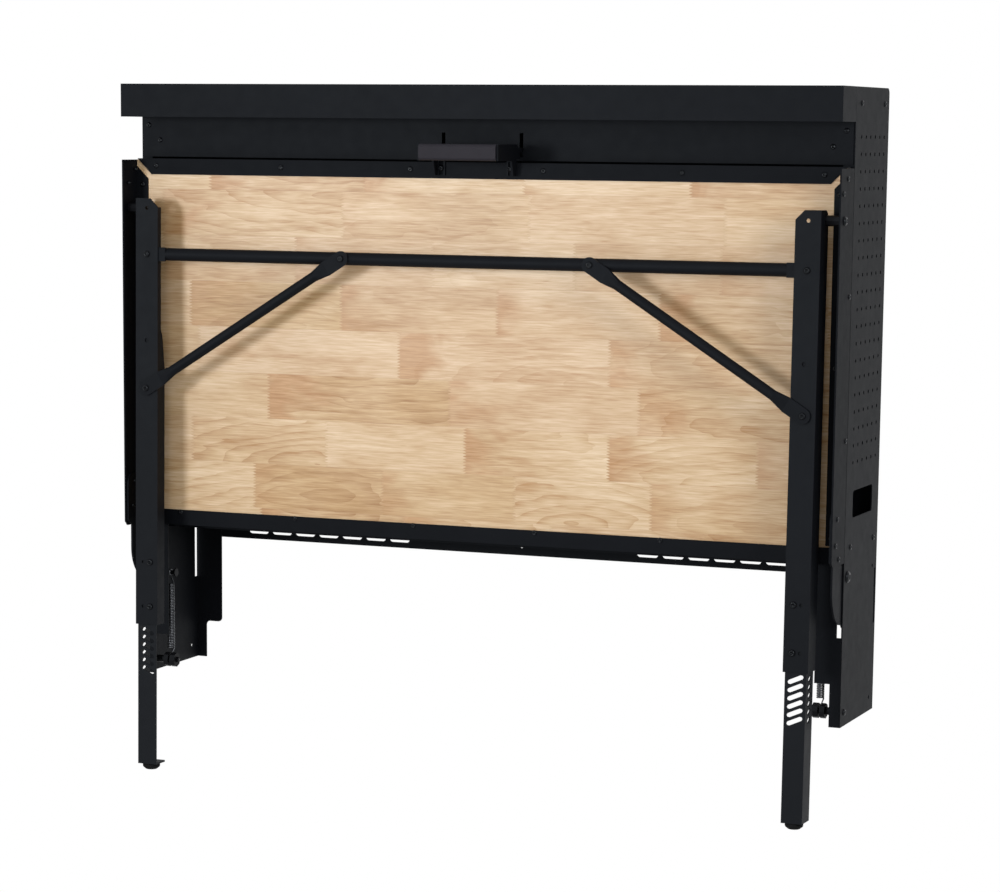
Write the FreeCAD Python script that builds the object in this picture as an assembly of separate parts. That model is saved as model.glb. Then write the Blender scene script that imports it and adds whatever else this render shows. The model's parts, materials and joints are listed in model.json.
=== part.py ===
"""Wall mounted workbench: a shallow sheet steel cabinet whose wooden bench folds down on two legs.

Lengths are millimetres. X runs along the wall to the right, +Y goes into the wall, +Z is up.
The wall is the plane Y = 0. Heights are written above the foot of the side panels and shifted by
up(), so that the origin lies on the wall face of the bottom shelf, half way along it.
"""
import FreeCAD, Part
import math
import os

V = FreeCAD.Vector
ALONG_X = V(1, 0, 0)
ALONG_Y = V(0, 1, 0)
ALONG_Z = V(0, 0, 1)

# Cabinet
OVERALL_WIDTH = 1180.0
PANEL_HEIGHT = 955.0
PANEL_DEPTH = 185.0
SHEET = 2.0
ORIGIN_HEIGHT = 245.0
PANEL_CORNER_R = 9.0
REAR_FLANGE = 47.0
REAR_FLANGE_FOOT = 18.0
REAR_STEP_HEIGHT = 61.5
REAR_STEP_R = 7.0
FRONT_FLANGE = 18.0
GUARD_FLANGE = 42.0
GUARD_FOOT = 66.0
GUARD_SLIT = 9.0
GUARD_SLIT_DROP = 91.0
HIGH_FLANGE_RISE = 72.0
HEADER_TAB = 46.0
OVERRUN = 10.0
ROD_SIDES = 8
WALL_SLIT_FOOT = 137.0
WALL_SLIT_TOP = 223.0
WALL_SLIT_WIDTH = 10.0
BACK_HOLE_R = 3.2

# Peg holes and cable cut-out of the side panels
PEG_PITCH = 25.4
PEG_FOOT_MARGIN = 34.0
PEG_COLUMNS = 6
PEG_HOLE_R = 3.2
PEG_SIDES = 6
PEG_FRONT_MARGIN = 33.3
PEG_TOP_MARGIN = 73.3
CABLE_CUT_FRONT = 38.0
CABLE_CUT_LENGTH = 110.0
CABLE_CUT_RISE = 56.0
CABLE_CUT_TALL = 41.0
CABLE_CUT_R = 6.0

# Hood, header and shelf
HOOD_REACH = 71.5
LIP_DROP = 51.5
LIP_RETURN = 14.0
HOOD_END_DROP = 40.0
HEADER_DROP = 114.0
SHELF_RISE = 31.0
SHELF_FRONT_GAP = 14.0
SHELF_END_RISE = 26.0
SHELF_LIP = 16.0
STRIP_DROP = 52.5
STRIP_GAP = 0.5
TOP_STRIP_DROP = 62.0
BACK_PANEL_GAP = 12.0
BACK_FOLD = 14.0

# Wall slots
SLOT_DROP = 38.0
SLOT_TOP_DROP = 37.0
SLOT_PITCH = 42.86
SLOT_COUNT = 7
TOP_SLOT_COUNT = 2
END_SHARE = 0.4
SLOT_END_MARGIN = 69.7
SLOT_LENGTH = 36.0
SLOT_WIDTH = 11.0
CENTRE_HOLE_R = 3.0

# Bench hinge
HINGE_SETBACK = 18.7
HINGE_HEIGHT = 228.0
HINGE_BOLT_R = 5.0
HINGE_HEAD_R = 9.0
HINGE_HEAD = 4.0
HINGE_NUT_R = 9.0
HINGE_NUT = 6.0
BUSH_WALL = 2.0
BUSH_FLANGE_R = 11.0
BUSH_FLANGE = 2.0
RUNNING_FIT = 0.06
SEAT_FIT = 0.02
PLATE_GAP = 0.5
PLATE = 3.0
PLATE_CAM_R = 57.0
PLATE_CAM_DROP = 71.0
PLATE_NOSE = 72.0
PLATE_SHOULDER = 20.0
PLATE_TAIL_R = 17.0
PLATE_RISE = 107.0
PLATE_FRONT_INSET = 3.0
PLATE_FRONT_RISE = 8.0
PLATE_REAR_GAP = 2.0

# Counterbalance springs
SPRING_SETBACK = 37.0
SPRING_STUD_DROP = 62.0
SPRING_STUD_R = 3.5
SPRING_STUD_TAIL = 8.0
SPRING_STUD_HEAD_R = 7.0
SPRING_STUD_HEAD = 2.5
SPRING_COIL_R = 5.2
SPRING_WIRE_R = 1.1
SPRING_WIRE_SIDES = 4
SPRING_TURNS = 12
SPRING_COIL_FOOT = 42.0
SPRING_COIL_DROP = 20.0
SPRING_LEAD = 9.0
ANCHOR_HEIGHT = 21.3
ANCHOR_BOLT_R = 2.5
ANCHOR_HEAD_R = 5.0
ANCHOR_HEAD = 3.0
SPOOL_R = 11.8
SPOOL_GROOVE_R = 3.7
SPOOL_GROOVE = 2.8
SPOOL_IN = 9.0
SPOOL_OUT = 8.0
ANCHOR_NUT_R = 4.6
ANCHOR_NUT = 4.0
SPACER_R = 6.0

# Bench top and its rails
WOOD = 22.0
WOOD_RISE = 25.5
BENCH_HEAD_GAP = 5.0
WOOD_SIDE_GAP = 0.5
WOOD_EDGE_R = 1.5
BENCH_GAP = 1.5
RAIL_REACH = 68.0
RAIL_RISE = 23.0
RAIL_FLANGE = 20.5
RAIL_FLANGE_RISE = 51.0
RAIL_NOTCH = 7.0
FRONT_RAIL_FLANGE = 25.0
REAR_RAIL_FLANGE = 24.5
EDGE_WRAP = 20.0
MITRE_GAP = 9.0
RAIL_END_GAP = 0.5

# Leg pivot
PIVOT_DROP = 75.7
PIVOT_FORWARD = 25.0
PIVOT_BOLT_R = 4.0
PIVOT_HEAD_R = 7.0
PIVOT_HEAD = 4.0
PIVOT_NUT = 6.0
PIVOT_SPACER_R = 8.0
LEG_SIDE_GAP = 0.4
LEG_LEAN = 0.9

# Legs
LEG_INSET = 27.5
LEG_WEB = 39.0
LEG_SHEET = 2.0
LEG_FRONT_OFFSET = 26.5
LEG_TOP_OVER = 15.3
LEG_LENGTH = 681.6
LEG_CHAMFER = 14.0
OUTER_FLANGE = 38.0
INNER_FLANGE_HIGH = 11.0
INNER_FLANGE_STEP = 16.0
INNER_FLANGE_LOW = 24.0
INNER_STEP_FALL = 194.0
INNER_STEP_RUN = 8.0
INNER_TAPER_RUN = 52.0
LEG_TOP_HOLE_R = 3.2
LEG_MID_HOLE_FALL = 209.0
LEG_MID_HOLE_R = 3.6
LEG_PATCH = 18.0

# Cross tube and braces
CROSS_FALL = 72.5
CROSS_TUBE_R = 10.0
CROSS_WALL = 1.6
CROSS_FLAT = 3.0
CROSS_FLAT_TALL = 22.0
CROSS_TUBE_SHORT = 6.0
CROSS_END_MARGIN = 4.0
BRACE_SPREAD_SHARE = 0.34746
BRACE_FALL = 284.8
BRACE_TUBE_R = 8.0
BRACE_FLAT = 3.0
BRACE_FLAT_R = 12.0
BRACE_FLAT_RUN = 30.0
BRACE_TAPER = 24.0
BRACE_POINTS = 12
FLAT_WIDE_SHARE = 1.3
FLAT_THIN_SHARE = 2.0
FLAT_SLOT_GAP = 0.5
FRAME_BOLT_R = 3.0
FRAME_HEAD_R = 5.2
FRAME_HEAD = 3.4
FRAME_NUT_R = 5.8
FRAME_NUT = 5.0

# Leg clamp bolts
CLAMP_FALL_HIGH = 565.0
CLAMP_FALL_LOW = 637.0
CLAMP_SIDE = 6.0
CLAMP_BOLT_R = 3.0
CLAMP_HEAD_R = 5.2
CLAMP_HEAD = 3.4
CLAMP_HOLE_GAP = 0.05

# Leg extensions
EXT_GAP = 0.3
EXT_SIDE_GAP = 1.0
EXT_SHEET = 2.0
EXT_FLANGE = 37.0
EXT_TOP_FALL = 470.0
EXT_FOOT_FALL = 895.3
EXT_PLATE = 3.0
EXT_PLATE_DEPTH = 30.0
EXT_STEP = 12.5
EXT_SLOTS = 6
EXT_SLOT_FALL = 677.0
EXT_SLOT_WIDTH = 6.6
EXT_SLOT_LENGTH = 26.0
EXT_SLOT_SLANT = 24.0
EXT_SIDE_SLOT_LENGTH = 15.0
EXT_RUN_TOP_FALL = 524.0
EXT_RUN_FOOT_FALL = 665.5
EXT_RUN_WIDTH = 7.0

# Levelling feet
FOOT_R = 12.5
FOOT_SIDES = 16
FOOT_PAD = 3.0
FOOT_DOME = 5.0
FOOT_CROWN_R = 6.0
FOOT_STUD_R = 4.0
FOOT_STUD = 34.0
FOOT_NUT_R = 7.0
FOOT_NUT = 6.0
FOOT_PLATE_GAP = 2.0

# Latch handle
LATCH_SPREAD = 64.5
LATCH_ARM = 3.0
GRIP_WIDTH = 125.6
GRIP_INSET = 4.0
GRIP_TALL = 25.0
GRIP_DEPTH = 15.0
GRIP_R = 5.0
GRIP_FORWARD = 105.0
HOOK_RISE = 20.0
HOOK_UNDER_RISE = 13.0
HOOK_LIP_RISE = 8.0
HOOK_SHANK = 20.0
HOOK_LIP = 3.5
HOOK_LIP_GAP = 0.8
ARM_REAR_FORWARD = 11.0
ARM_DROP = 18.0
ARM_LIFT = 3.0
ARM_LUG_FORWARD = 45.0
TAB_WIDTH = 12.0
TAB = 2.4
TAB_GAP = 0.3
TAB_RISE = 10.0
GUIDE_DROP = 7.0
GUIDE_TRAVEL = 7.0
GUIDE_BOLT_R = 3.0
GUIDE_HEAD_R = 4.2
GUIDE_HEAD = 3.6
GUIDE_GAP = 0.3
GUIDE_DEPTH = 10.0
LATCH_SLOT_RISE = 6.0
LATCH_SLOT_TALL = 36.0
LATCH_SLOT_WIDTH = 6.0
GRIP_SCREW_R = 2.0
GRIP_SCREW_HEAD_R = 4.0
GRIP_SCREW_HEAD = 2.0
GRIP_SCREW = 16.0

# Small screws
SCREW_R = 2.0
SCREW_HEAD_R = 4.2
SCREW_HEAD = 2.2
SCREW_DEPTH = 9.0
SCREW_SIDES = 6
FRONT_SCREW_SHARES = (0.18644, 0.56186, 0.93475)
REAR_SCREW_SHARES = (0.17288, 0.52034, 0.8661)
RAIL_SCREW_INSET = 11.5
SIDE_SCREW_SHARES = (0.06266, 0.49751, 0.93305)
EDGE_SCREW_SHARES = (0.31193, 0.67828)
PLATE_BOLT_FORWARD = (31.3, 50.2, 43.2)
PLATE_BOLT_RISES = (32.6, 54.6, 93.8)
CORNER_BOLT_FORWARD = (32.9, 55.2)
CORNER_BOLT_DROPS = (15.0, 36.4)
PANEL_SCREW_FRONT = 31.0
PANEL_SCREW_REAR = 24.0
TOP_SCREW_DROP = 24.0
BACK_HOLE_HEIGHTS = (21.7, 228.3)
HEADER_SCREW_IN = (13.0, 33.0)
HEADER_SCREW_DROPS = (64.2, 87.7)

# Places worked out from the sizes above
HALF = OVERALL_WIDTH / 2
WOOD_FOOT = HINGE_HEIGHT + WOOD_RISE
RAIL_FOOT = HINGE_HEIGHT + RAIL_RISE
RAIL_FLANGE_FOOT = HINGE_HEIGHT + RAIL_FLANGE_RISE
GUARD_TOP = RAIL_FOOT
GUARD_SLIT_FOOT = HINGE_HEIGHT - GUARD_SLIT_DROP
HIGH_FLANGE_FOOT = HINGE_HEIGHT + HIGH_FLANGE_RISE
SHELF_HEIGHT = HINGE_HEIGHT + SHELF_RISE
STRIP_FOOT = SHELF_HEIGHT - STRIP_DROP
SLOT_ROW = SHELF_HEIGHT - SLOT_DROP
CABLE_CUT_FOOT = SHELF_HEIGHT + CABLE_CUT_RISE
PEG_LOWEST = CABLE_CUT_FOOT + CABLE_CUT_TALL + PEG_FOOT_MARGIN
PLATE_TOP = HINGE_HEIGHT + PLATE_RISE
HEADER_FOOT = PANEL_HEIGHT - HEADER_DROP
WOOD_TOP = HEADER_FOOT - BENCH_HEAD_GAP
WOOD_TALL = WOOD_TOP - WOOD_FOOT
PIVOT_HEIGHT = WOOD_TOP - PIVOT_DROP
STRIP_HALF = HALF - REAR_FLANGE - STRIP_GAP
SLOT_FIRST = STRIP_HALF - SLOT_END_MARGIN
SLOT_TOP_ROW = PANEL_HEIGHT - SLOT_TOP_DROP
GRIP_FOOT = HEADER_FOOT
HOOK_TOP = GRIP_FOOT + HOOK_RISE
HOOK_UNDER = GRIP_FOOT + HOOK_UNDER_RISE
HOOK_LIP_FOOT = GRIP_FOOT + HOOK_LIP_RISE
ARM_FOOT = WOOD_TOP - ARM_DROP
TAB_TOP = WOOD_TOP + TAB_RISE
GUIDE_HEIGHT = WOOD_TOP - GUIDE_DROP
LATCH_SLOT_FOOT = HEADER_FOOT + LATCH_SLOT_RISE
LATCH_SLOT_TOP = LATCH_SLOT_FOOT + LATCH_SLOT_TALL
BRACE_SPREAD = HALF * BRACE_SPREAD_SHARE
PEG_TOP = PANEL_HEIGHT - PEG_TOP_MARGIN
PEG_ROWS = int((PEG_TOP - PEG_LOWEST) / PEG_PITCH) + 1
PANEL_IN = HALF - SHEET
PLATE_OUT = PANEL_IN - PLATE_GAP
PLATE_IN = PLATE_OUT - PLATE
HINGE_Y = -PANEL_DEPTH + HINGE_SETBACK
BENCH_BACK = -PANEL_DEPTH - BENCH_GAP
WOOD_UNDER = BENCH_BACK - WOOD
RAIL_FACE = WOOD_UNDER - SHEET
RAIL_FRONT = BENCH_BACK - RAIL_REACH
RAIL_IN = PLATE_OUT
HEADER_FACE = -PANEL_DEPTH - SHEET / 2
PIVOT_Y = WOOD_UNDER - PIVOT_FORWARD
LEG_FRONT = PIVOT_Y - LEG_FRONT_OFFSET
LEG_BACK = LEG_FRONT + LEG_SHEET
LEG_OUT = HALF - LEG_INSET
LEG_IN = LEG_OUT - LEG_WEB
LEG_TOP = PIVOT_HEIGHT + LEG_TOP_OVER
LEG_FOOT = LEG_TOP - LEG_LENGTH
LEG_MIDDLE = (LEG_OUT + LEG_IN) / 2
SPRING_X = HALF - SPRING_SETBACK
STUD_HEIGHT = HINGE_HEIGHT - SPRING_STUD_DROP
SPRING_COIL_TOP = STUD_HEIGHT - SPRING_COIL_DROP
EXT_FRONT = LEG_BACK + EXT_GAP
EXT_BACK = EXT_FRONT + EXT_SHEET
EXT_OUT = LEG_OUT - LEG_SHEET - EXT_SIDE_GAP
EXT_IN = LEG_IN + LEG_SHEET + EXT_SIDE_GAP
EXT_FOOT = PIVOT_HEIGHT - EXT_FOOT_FALL
GRIP_FRONT = -PANEL_DEPTH - GRIP_FORWARD
GRIP_BACK = GRIP_FRONT + GRIP_DEPTH
CROSS_Y = LEG_BACK + CROSS_TUBE_R
CROSS_HEIGHT = PIVOT_HEIGHT - CROSS_FALL
BRACE_HEIGHT = PIVOT_HEIGHT - BRACE_FALL
BRACE_RUN = math.hypot(LEG_MIDDLE - BRACE_SPREAD, CROSS_HEIGHT - BRACE_HEIGHT)
BRACE_DIRECTION = V(BRACE_SPREAD - LEG_MIDDLE, 0, CROSS_HEIGHT - BRACE_HEIGHT) * (1 / BRACE_RUN)


def up(height):
    """Height above the foot of the side panels, as a Z of the part's own frame."""
    return height - ORIGIN_HEIGHT


def box(x_span, y_span, height_span):
    """Block between two X, two Y and two heights."""
    corner = V(x_span[0], y_span[0], up(height_span[0]))
    return Part.makeBox(x_span[1] - x_span[0], y_span[1] - y_span[0], height_span[1] - height_span[0], corner)


def turned(x, y, height, axis, length, radius):
    """True cylinder, for what turns or seats a tube, that starts at a place and runs along an axis."""
    return Part.makeCylinder(radius, length, V(x, y, up(height)), axis)


def rod(x, y, height, axis, length, radius):
    """Plain round bar of few faces, for bolts, spacers and the holes that hold them."""
    return polygon_rod(x, y, height, axis, length, radius, ROD_SIDES)


def rounded_face(points, radii):
    """Flat face with straight sides, whose corners are rounded by arcs of the given radii."""
    edges = []
    count = len(points)
    joins = []
    for i, corner in enumerate(points):
        before = points[i - 1] - corner
        after = points[(i + 1) % count] - corner
        if radii[i] == 0:
            joins.append((corner, corner, corner))
            continue
        half_angle = before.getAngle(after) / 2
        reach = radii[i] / math.tan(half_angle)
        start = corner + before.normalize() * reach
        end = corner + after.normalize() * reach
        bisector = (before + after).normalize()
        middle = corner + bisector * (radii[i] / math.sin(half_angle) - radii[i])
        joins.append((start, middle, end))
    for i, (start, middle, end) in enumerate(joins):
        if radii[i] != 0:
            edges.append(Part.Arc(start, middle, end).toShape())
        following = joins[(i + 1) % count][0]
        edges.append(Part.LineSegment(end, following).toShape())
    return Part.Face(Part.Wire(edges))


def slab_x(outline, x_span, radii=None):
    """Plate across X, from an outline of (Y, height) points."""
    points = [V(x_span[0], y, up(height)) for y, height in outline]
    return rounded_face(points, radii or [0] * len(points)).extrude(V(x_span[1] - x_span[0], 0, 0))


def slab_y(outline, y_span, radii=None):
    """Plate across Y, from an outline of (X, height) points."""
    points = [V(x, y_span[0], up(height)) for x, height in outline]
    return rounded_face(points, radii or [0] * len(points)).extrude(V(0, y_span[1] - y_span[0], 0))


def polygon_wire(x, y, height, axis, radius, sides):
    """Closed outline of a few equal sides about an axis."""
    start = V(x, y, up(height))
    across = ALONG_Z if abs(axis.z) == 0 else ALONG_X
    points = [start + FreeCAD.Rotation(axis, 360 * k / sides).multVec(across) * radius for k in range(sides)]
    return Part.makePolygon(points + points[:1])


def polygon_rod(x, y, height, axis, length, radius, sides):
    """Prism of a few sides that stands for a small round hole or screw."""
    return Part.Face(polygon_wire(x, y, height, axis, radius, sides)).extrude(axis * length)


def slot_bar(x, y, height, axis, length, width, slant, depth):
    """Cutter for a slanted slot with blunt ends of few faces, that runs along an axis."""
    start = V(x, y, up(height))
    along = ALONG_X if abs(axis.x) == 0 else ALONG_Y
    run = FreeCAD.Rotation(axis, slant).multVec(along)
    side = axis.cross(run).normalize() * (width / 2)
    outer = run * (length / 2)
    inner = run * (length / 2 - width * END_SHARE)
    blunt = side * END_SHARE
    points = [
        start - outer - blunt,
        start - inner - side,
        start + inner - side,
        start + outer - blunt,
        start + outer + blunt,
        start + inner + side,
        start - inner + side,
        start - outer + blunt,
        start - outer - blunt,
    ]
    return Part.Face(Part.makePolygon(points)).extrude(axis * depth)


def obround(x, y, height, axis, length, width, slant, depth):
    """Cutter for a slot with round ends, slanted in its own plane, that runs along an axis."""
    half_run = (length - width) / 2
    start = V(x, y, up(height))
    along = ALONG_X if abs(axis.x) == 0 else ALONG_Y
    run = FreeCAD.Rotation(axis, slant).multVec(along) * half_run
    side = axis.cross(run).normalize() * (width / 2)
    tip = run.normalize() * (width / 2)
    run = run * half_run
    corners = [start - run - side, start + run - side, start + run + side, start - run + side]
    edges = [
        Part.LineSegment(corners[0], corners[1]).toShape(),
        Part.Arc(corners[1], start + run + tip, corners[2]).toShape(),
        Part.LineSegment(corners[2], corners[3]).toShape(),
        Part.Arc(corners[3], start - run - tip, corners[0]).toShape(),
    ]
    return Part.Face(Part.Wire(edges)).extrude(axis * depth)


def joined(shapes):
    """One solid from shapes that touch or overlap."""
    return shapes[0].fuse(shapes[1:]).removeSplitter()


def mirrored(shape):
    """The same piece on the left."""
    return shape.mirror(V(0, 0, 0), ALONG_X)


def both(shape):
    """The piece and its mirror image."""
    return [shape, mirrored(shape)]


def leaned(shape):
    """Piece of the leg frame, turned about the leg pivots so that the feet stand a little forward."""
    turned = shape.copy()
    turned.rotate(V(0, PIVOT_Y, up(PIVOT_HEIGHT)), ALONG_X, -LEG_LEAN)
    return turned


def save(name, shapes):
    """Write one node, of one solid or of a group of separate solids."""
    solids = shapes if isinstance(shapes, list) else [shapes]
    for solid in solids:
        assert solid.isValid(), name
    Part.makeCompound(solids).exportStep(os.path.join("parts", name + ".step"))
    volume = sum(solid.Volume for solid in solids)
    print(name, "solids", sum(len(s.Solids) for s in solids), "volume cm3", round(volume / 1000, 2))


def save_pair(name, right):
    """Write a right piece and its mirror image as two nodes."""
    save("right_" + name, right)
    save("left_" + name, mirrored(right))


def bolt(x, y, height, axis, head_r, head, shank_r, shank, make_shank=rod):
    """Round headed bolt: the seat of the head is at the given place, and the shank runs along the axis."""
    shape = make_shank(x, y, height, axis, shank, shank_r)
    back = V(axis.x, axis.y, axis.z) * -1
    return joined([shape, rod(x, y, height, back, head, head_r)])


def ring(x, y, height, axis, length, outer, inner, make_bore=rod):
    """Tube or washer."""
    return rod(x, y, height, axis, length, outer).cut(make_bore(x, y, height, axis, length, inner))


def small_screw(x, y, height, axis):
    """Small screw of few faces, with its head on the surface."""
    back = V(axis.x, axis.y, axis.z) * -1
    shank = polygon_rod(x, y, height, axis, SCREW_DEPTH, SCREW_R, SCREW_SIDES)
    return joined([shank, polygon_rod(x, y, height, back, SCREW_HEAD, SCREW_HEAD_R, SCREW_SIDES)])


def screw_hole(x, y, height, axis):
    """Hole that the shank of a small screw fills."""
    return polygon_rod(x, y, height, axis, SCREW_DEPTH, SCREW_R, SCREW_SIDES)


def cabinet_screw_places():
    """Screws of the right side panel, its header end included, as place and direction."""
    inward = ALONG_X * -1
    front = -PANEL_DEPTH + PANEL_SCREW_FRONT
    top = PANEL_HEIGHT - TOP_SCREW_DROP
    places = [(HALF, front, top, inward), (HALF, -PANEL_SCREW_REAR, top, inward)]
    shelf_screw = SHELF_HEIGHT + SHELF_END_RISE / 2
    places += [(HALF, front, shelf_screw, inward), (HALF, -PANEL_SCREW_REAR, shelf_screw, inward)]
    header_front = -PANEL_DEPTH - SHEET
    for inset, drop in zip(HEADER_SCREW_IN, HEADER_SCREW_DROPS):
        places.append((HALF - inset, header_front, PANEL_HEIGHT - drop, ALONG_Y))
    return places


def cabinet_holes():
    """Cutters for the small screws of the cabinet on both sides."""
    holes = [screw_hole(*place) for place in cabinet_screw_places()]
    return holes + [mirrored(hole) for hole in holes]


def side_panel():
    """Right side panel: a pegged wall with folded front and rear flanges."""
    wall = slab_x(
        [(0, 0), (0, PANEL_HEIGHT), (-PANEL_DEPTH, PANEL_HEIGHT), (-PANEL_DEPTH, 0)],
        (PANEL_IN, HALF),
        [0, PANEL_CORNER_R, 0, 0],
    )
    rear = slab_y(
        [
            (HALF, 0),
            (HALF - REAR_FLANGE_FOOT, 0),
            (HALF - REAR_FLANGE_FOOT, REAR_STEP_HEIGHT),
            (HALF - REAR_FLANGE, REAR_STEP_HEIGHT),
            (HALF - REAR_FLANGE, PANEL_HEIGHT - PANEL_CORNER_R),
            (HALF, PANEL_HEIGHT - PANEL_CORNER_R),
        ],
        (-SHEET, 0),
        [0, 0, REAR_STEP_R, REAR_STEP_R, 0, 0],
    )
    front_span = (-PANEL_DEPTH, -PANEL_DEPTH + SHEET)
    low = box((HALF - FRONT_FLANGE, HALF), front_span, (0, GUARD_SLIT_FOOT))
    guard = slab_y(
        [
            (HALF - GUARD_FLANGE, GUARD_FOOT),
            (HALF - SHEET, GUARD_FOOT),
            (HALF - SHEET, GUARD_SLIT_FOOT),
            (HALF - GUARD_SLIT, GUARD_SLIT_FOOT),
            (HALF - GUARD_SLIT, GUARD_TOP),
            (HALF - GUARD_FLANGE, GUARD_TOP),
        ],
        front_span,
    )
    high_top = PANEL_HEIGHT - HOOD_END_DROP - SHEET
    high = box((HALF - FRONT_FLANGE, HALF), front_span, (HIGH_FLANGE_FOOT, high_top))
    tab = box((HALF - HEADER_TAB, HALF), front_span, (HEADER_FOOT, high_top))
    panel = joined([wall, rear, low, guard, high, tab])
    cutters = []
    for row in range(PEG_ROWS):
        for column in range(PEG_COLUMNS):
            y = -PANEL_DEPTH + PEG_FRONT_MARGIN + column * PEG_PITCH
            height = PEG_TOP - row * PEG_PITCH
            start = PANEL_IN - OVERRUN
            cutters.append(polygon_rod(start, y, height, ALONG_X, 2 * OVERRUN, PEG_HOLE_R, PEG_SIDES))
    cut_front = -PANEL_DEPTH + CABLE_CUT_FRONT
    cut_top = CABLE_CUT_FOOT + CABLE_CUT_TALL
    cutters.append(
        slab_x(
            [
                (cut_front, CABLE_CUT_FOOT),
                (cut_front + CABLE_CUT_LENGTH, CABLE_CUT_FOOT),
                (cut_front + CABLE_CUT_LENGTH, cut_top),
                (cut_front, cut_top),
            ],
            (PANEL_IN - OVERRUN, HALF + OVERRUN),
            [CABLE_CUT_R] * 4,
        )
    )
    cutters.append(turned(PANEL_IN - OVERRUN, HINGE_Y, HINGE_HEIGHT, ALONG_X, 2 * OVERRUN, HINGE_BOLT_R + SEAT_FIT))
    for height in BACK_HOLE_HEIGHTS:
        cutters.append(rod(PANEL_IN - OVERRUN, -PANEL_SCREW_REAR, height, ALONG_X, 2 * OVERRUN, BACK_HOLE_R))
    slit_span = (-SHEET - WALL_SLIT_WIDTH, -SHEET)
    cutters.append(box((PANEL_IN, HALF), slit_span, (WALL_SLIT_FOOT, WALL_SLIT_TOP)))
    cutters.append(rod(PANEL_IN - OVERRUN, HINGE_Y, ANCHOR_HEIGHT, ALONG_X, 2 * OVERRUN, ANCHOR_BOLT_R + SEAT_FIT))
    cutters += [screw_hole(*place) for place in cabinet_screw_places()]
    return panel.cut(cutters)


def wall_slots(row, count, step):
    """Cutters for the two groups of wall slots of one row."""
    cutters = []
    for i in range(count):
        x = SLOT_FIRST - i * step
        cutters += both(obround(x, -OVERRUN, row, ALONG_Y, SLOT_LENGTH, SLOT_WIDTH, 0, 2 * OVERRUN))
    return cutters


def top_panel():
    """Hood over the bench: top sheet, drop lip with its return, closed ends and a slotted wall flange."""
    front = -PANEL_DEPTH - HOOD_REACH
    top_span = (PANEL_HEIGHT - SHEET, PANEL_HEIGHT)
    lip_foot = PANEL_HEIGHT - LIP_DROP
    ahead = -PANEL_DEPTH - RAIL_END_GAP
    sheets = [
        box((-PANEL_IN, PANEL_IN), (-PANEL_DEPTH - BENCH_GAP, 0), top_span),
        box((-HALF, HALF), (front, ahead), top_span),
        box((-HALF, HALF), (front, front + SHEET), (lip_foot, PANEL_HEIGHT)),
        box((-HALF, HALF), (front, front + LIP_RETURN), (lip_foot, lip_foot + SHEET)),
        box((PANEL_IN, HALF), (front, ahead), (lip_foot, PANEL_HEIGHT)),
        box((-HALF, -PANEL_IN), (front, ahead), (lip_foot, PANEL_HEIGHT)),
    ]
    end_span = (-PANEL_DEPTH + SHEET, -SHEET)
    end_heights = (PANEL_HEIGHT - HOOD_END_DROP, PANEL_HEIGHT)
    sheets.append(box((PANEL_IN - SHEET, PANEL_IN), end_span, end_heights))
    sheets.append(box((-PANEL_IN, -PANEL_IN + SHEET), end_span, end_heights))
    sheets.append(box((-STRIP_HALF, STRIP_HALF), (-SHEET, 0), (PANEL_HEIGHT - TOP_STRIP_DROP, PANEL_HEIGHT)))
    hood = joined(sheets)
    corner = box((PANEL_IN - REAR_FLANGE, HALF), (-SHEET, 0), (PANEL_HEIGHT - PANEL_CORNER_R, PANEL_HEIGHT))
    return hood.cut(wall_slots(SLOT_TOP_ROW, TOP_SLOT_COUNT, (SLOT_COUNT - 1) * SLOT_PITCH) + cabinet_holes() + both(corner))


def header_panel():
    """Plate across the front under the hood, with the two slots that the latch hooks enter."""
    face = (-PANEL_DEPTH - SHEET, -PANEL_DEPTH)
    top = PANEL_HEIGHT - HOOD_END_DROP - SHEET
    half = PANEL_IN - RAIL_END_GAP
    plate = box((-half, half), face, (HEADER_FOOT, top))
    fold = box((-HALF + HEADER_TAB, HALF - HEADER_TAB), (-PANEL_DEPTH, -PANEL_DEPTH + BACK_FOLD), (top - SHEET, top))
    foot_fold = box(
        (-HALF + HEADER_TAB, HALF - HEADER_TAB),
        (-PANEL_DEPTH, -PANEL_DEPTH + BACK_FOLD),
        (HEADER_FOOT, HEADER_FOOT + SHEET),
    )
    half_slot = LATCH_SLOT_WIDTH / 2
    slot = box(
        (LATCH_SPREAD - half_slot, LATCH_SPREAD + half_slot),
        (-PANEL_DEPTH - OVERRUN, -PANEL_DEPTH + OVERRUN),
        (LATCH_SLOT_FOOT, LATCH_SLOT_TOP),
    )
    return joined([plate, fold, foot_fold]).cut(both(slot) + cabinet_holes())


def bottom_shelf():
    """Shelf above the hinge: tray with end flanges, front lip and the slotted flange that hangs on the wall."""
    front = -PANEL_DEPTH + SHELF_FRONT_GAP
    top = SHELF_HEIGHT
    tray = box((-PANEL_IN, PANEL_IN), (front, -SHEET), (top - SHEET, top))
    lip_half = PANEL_IN - SHELF_FRONT_GAP
    lip = box((-lip_half, lip_half), (front, front + SHEET), (top - SHELF_LIP, top))
    end = box((PANEL_IN - SHEET, PANEL_IN), (front, -SHEET), (top - SHEET, top + SHELF_END_RISE))
    strip = box((-STRIP_HALF, STRIP_HALF), (-SHEET, 0), (STRIP_FOOT, top))
    shelf = joined([tray, lip, strip] + both(end))
    centre = rod(0, -OVERRUN, SLOT_ROW, ALONG_Y, 2 * OVERRUN, CENTRE_HOLE_R)
    return shelf.cut(wall_slots(SLOT_ROW, SLOT_COUNT, SLOT_PITCH) + [centre] + cabinet_holes())


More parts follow.
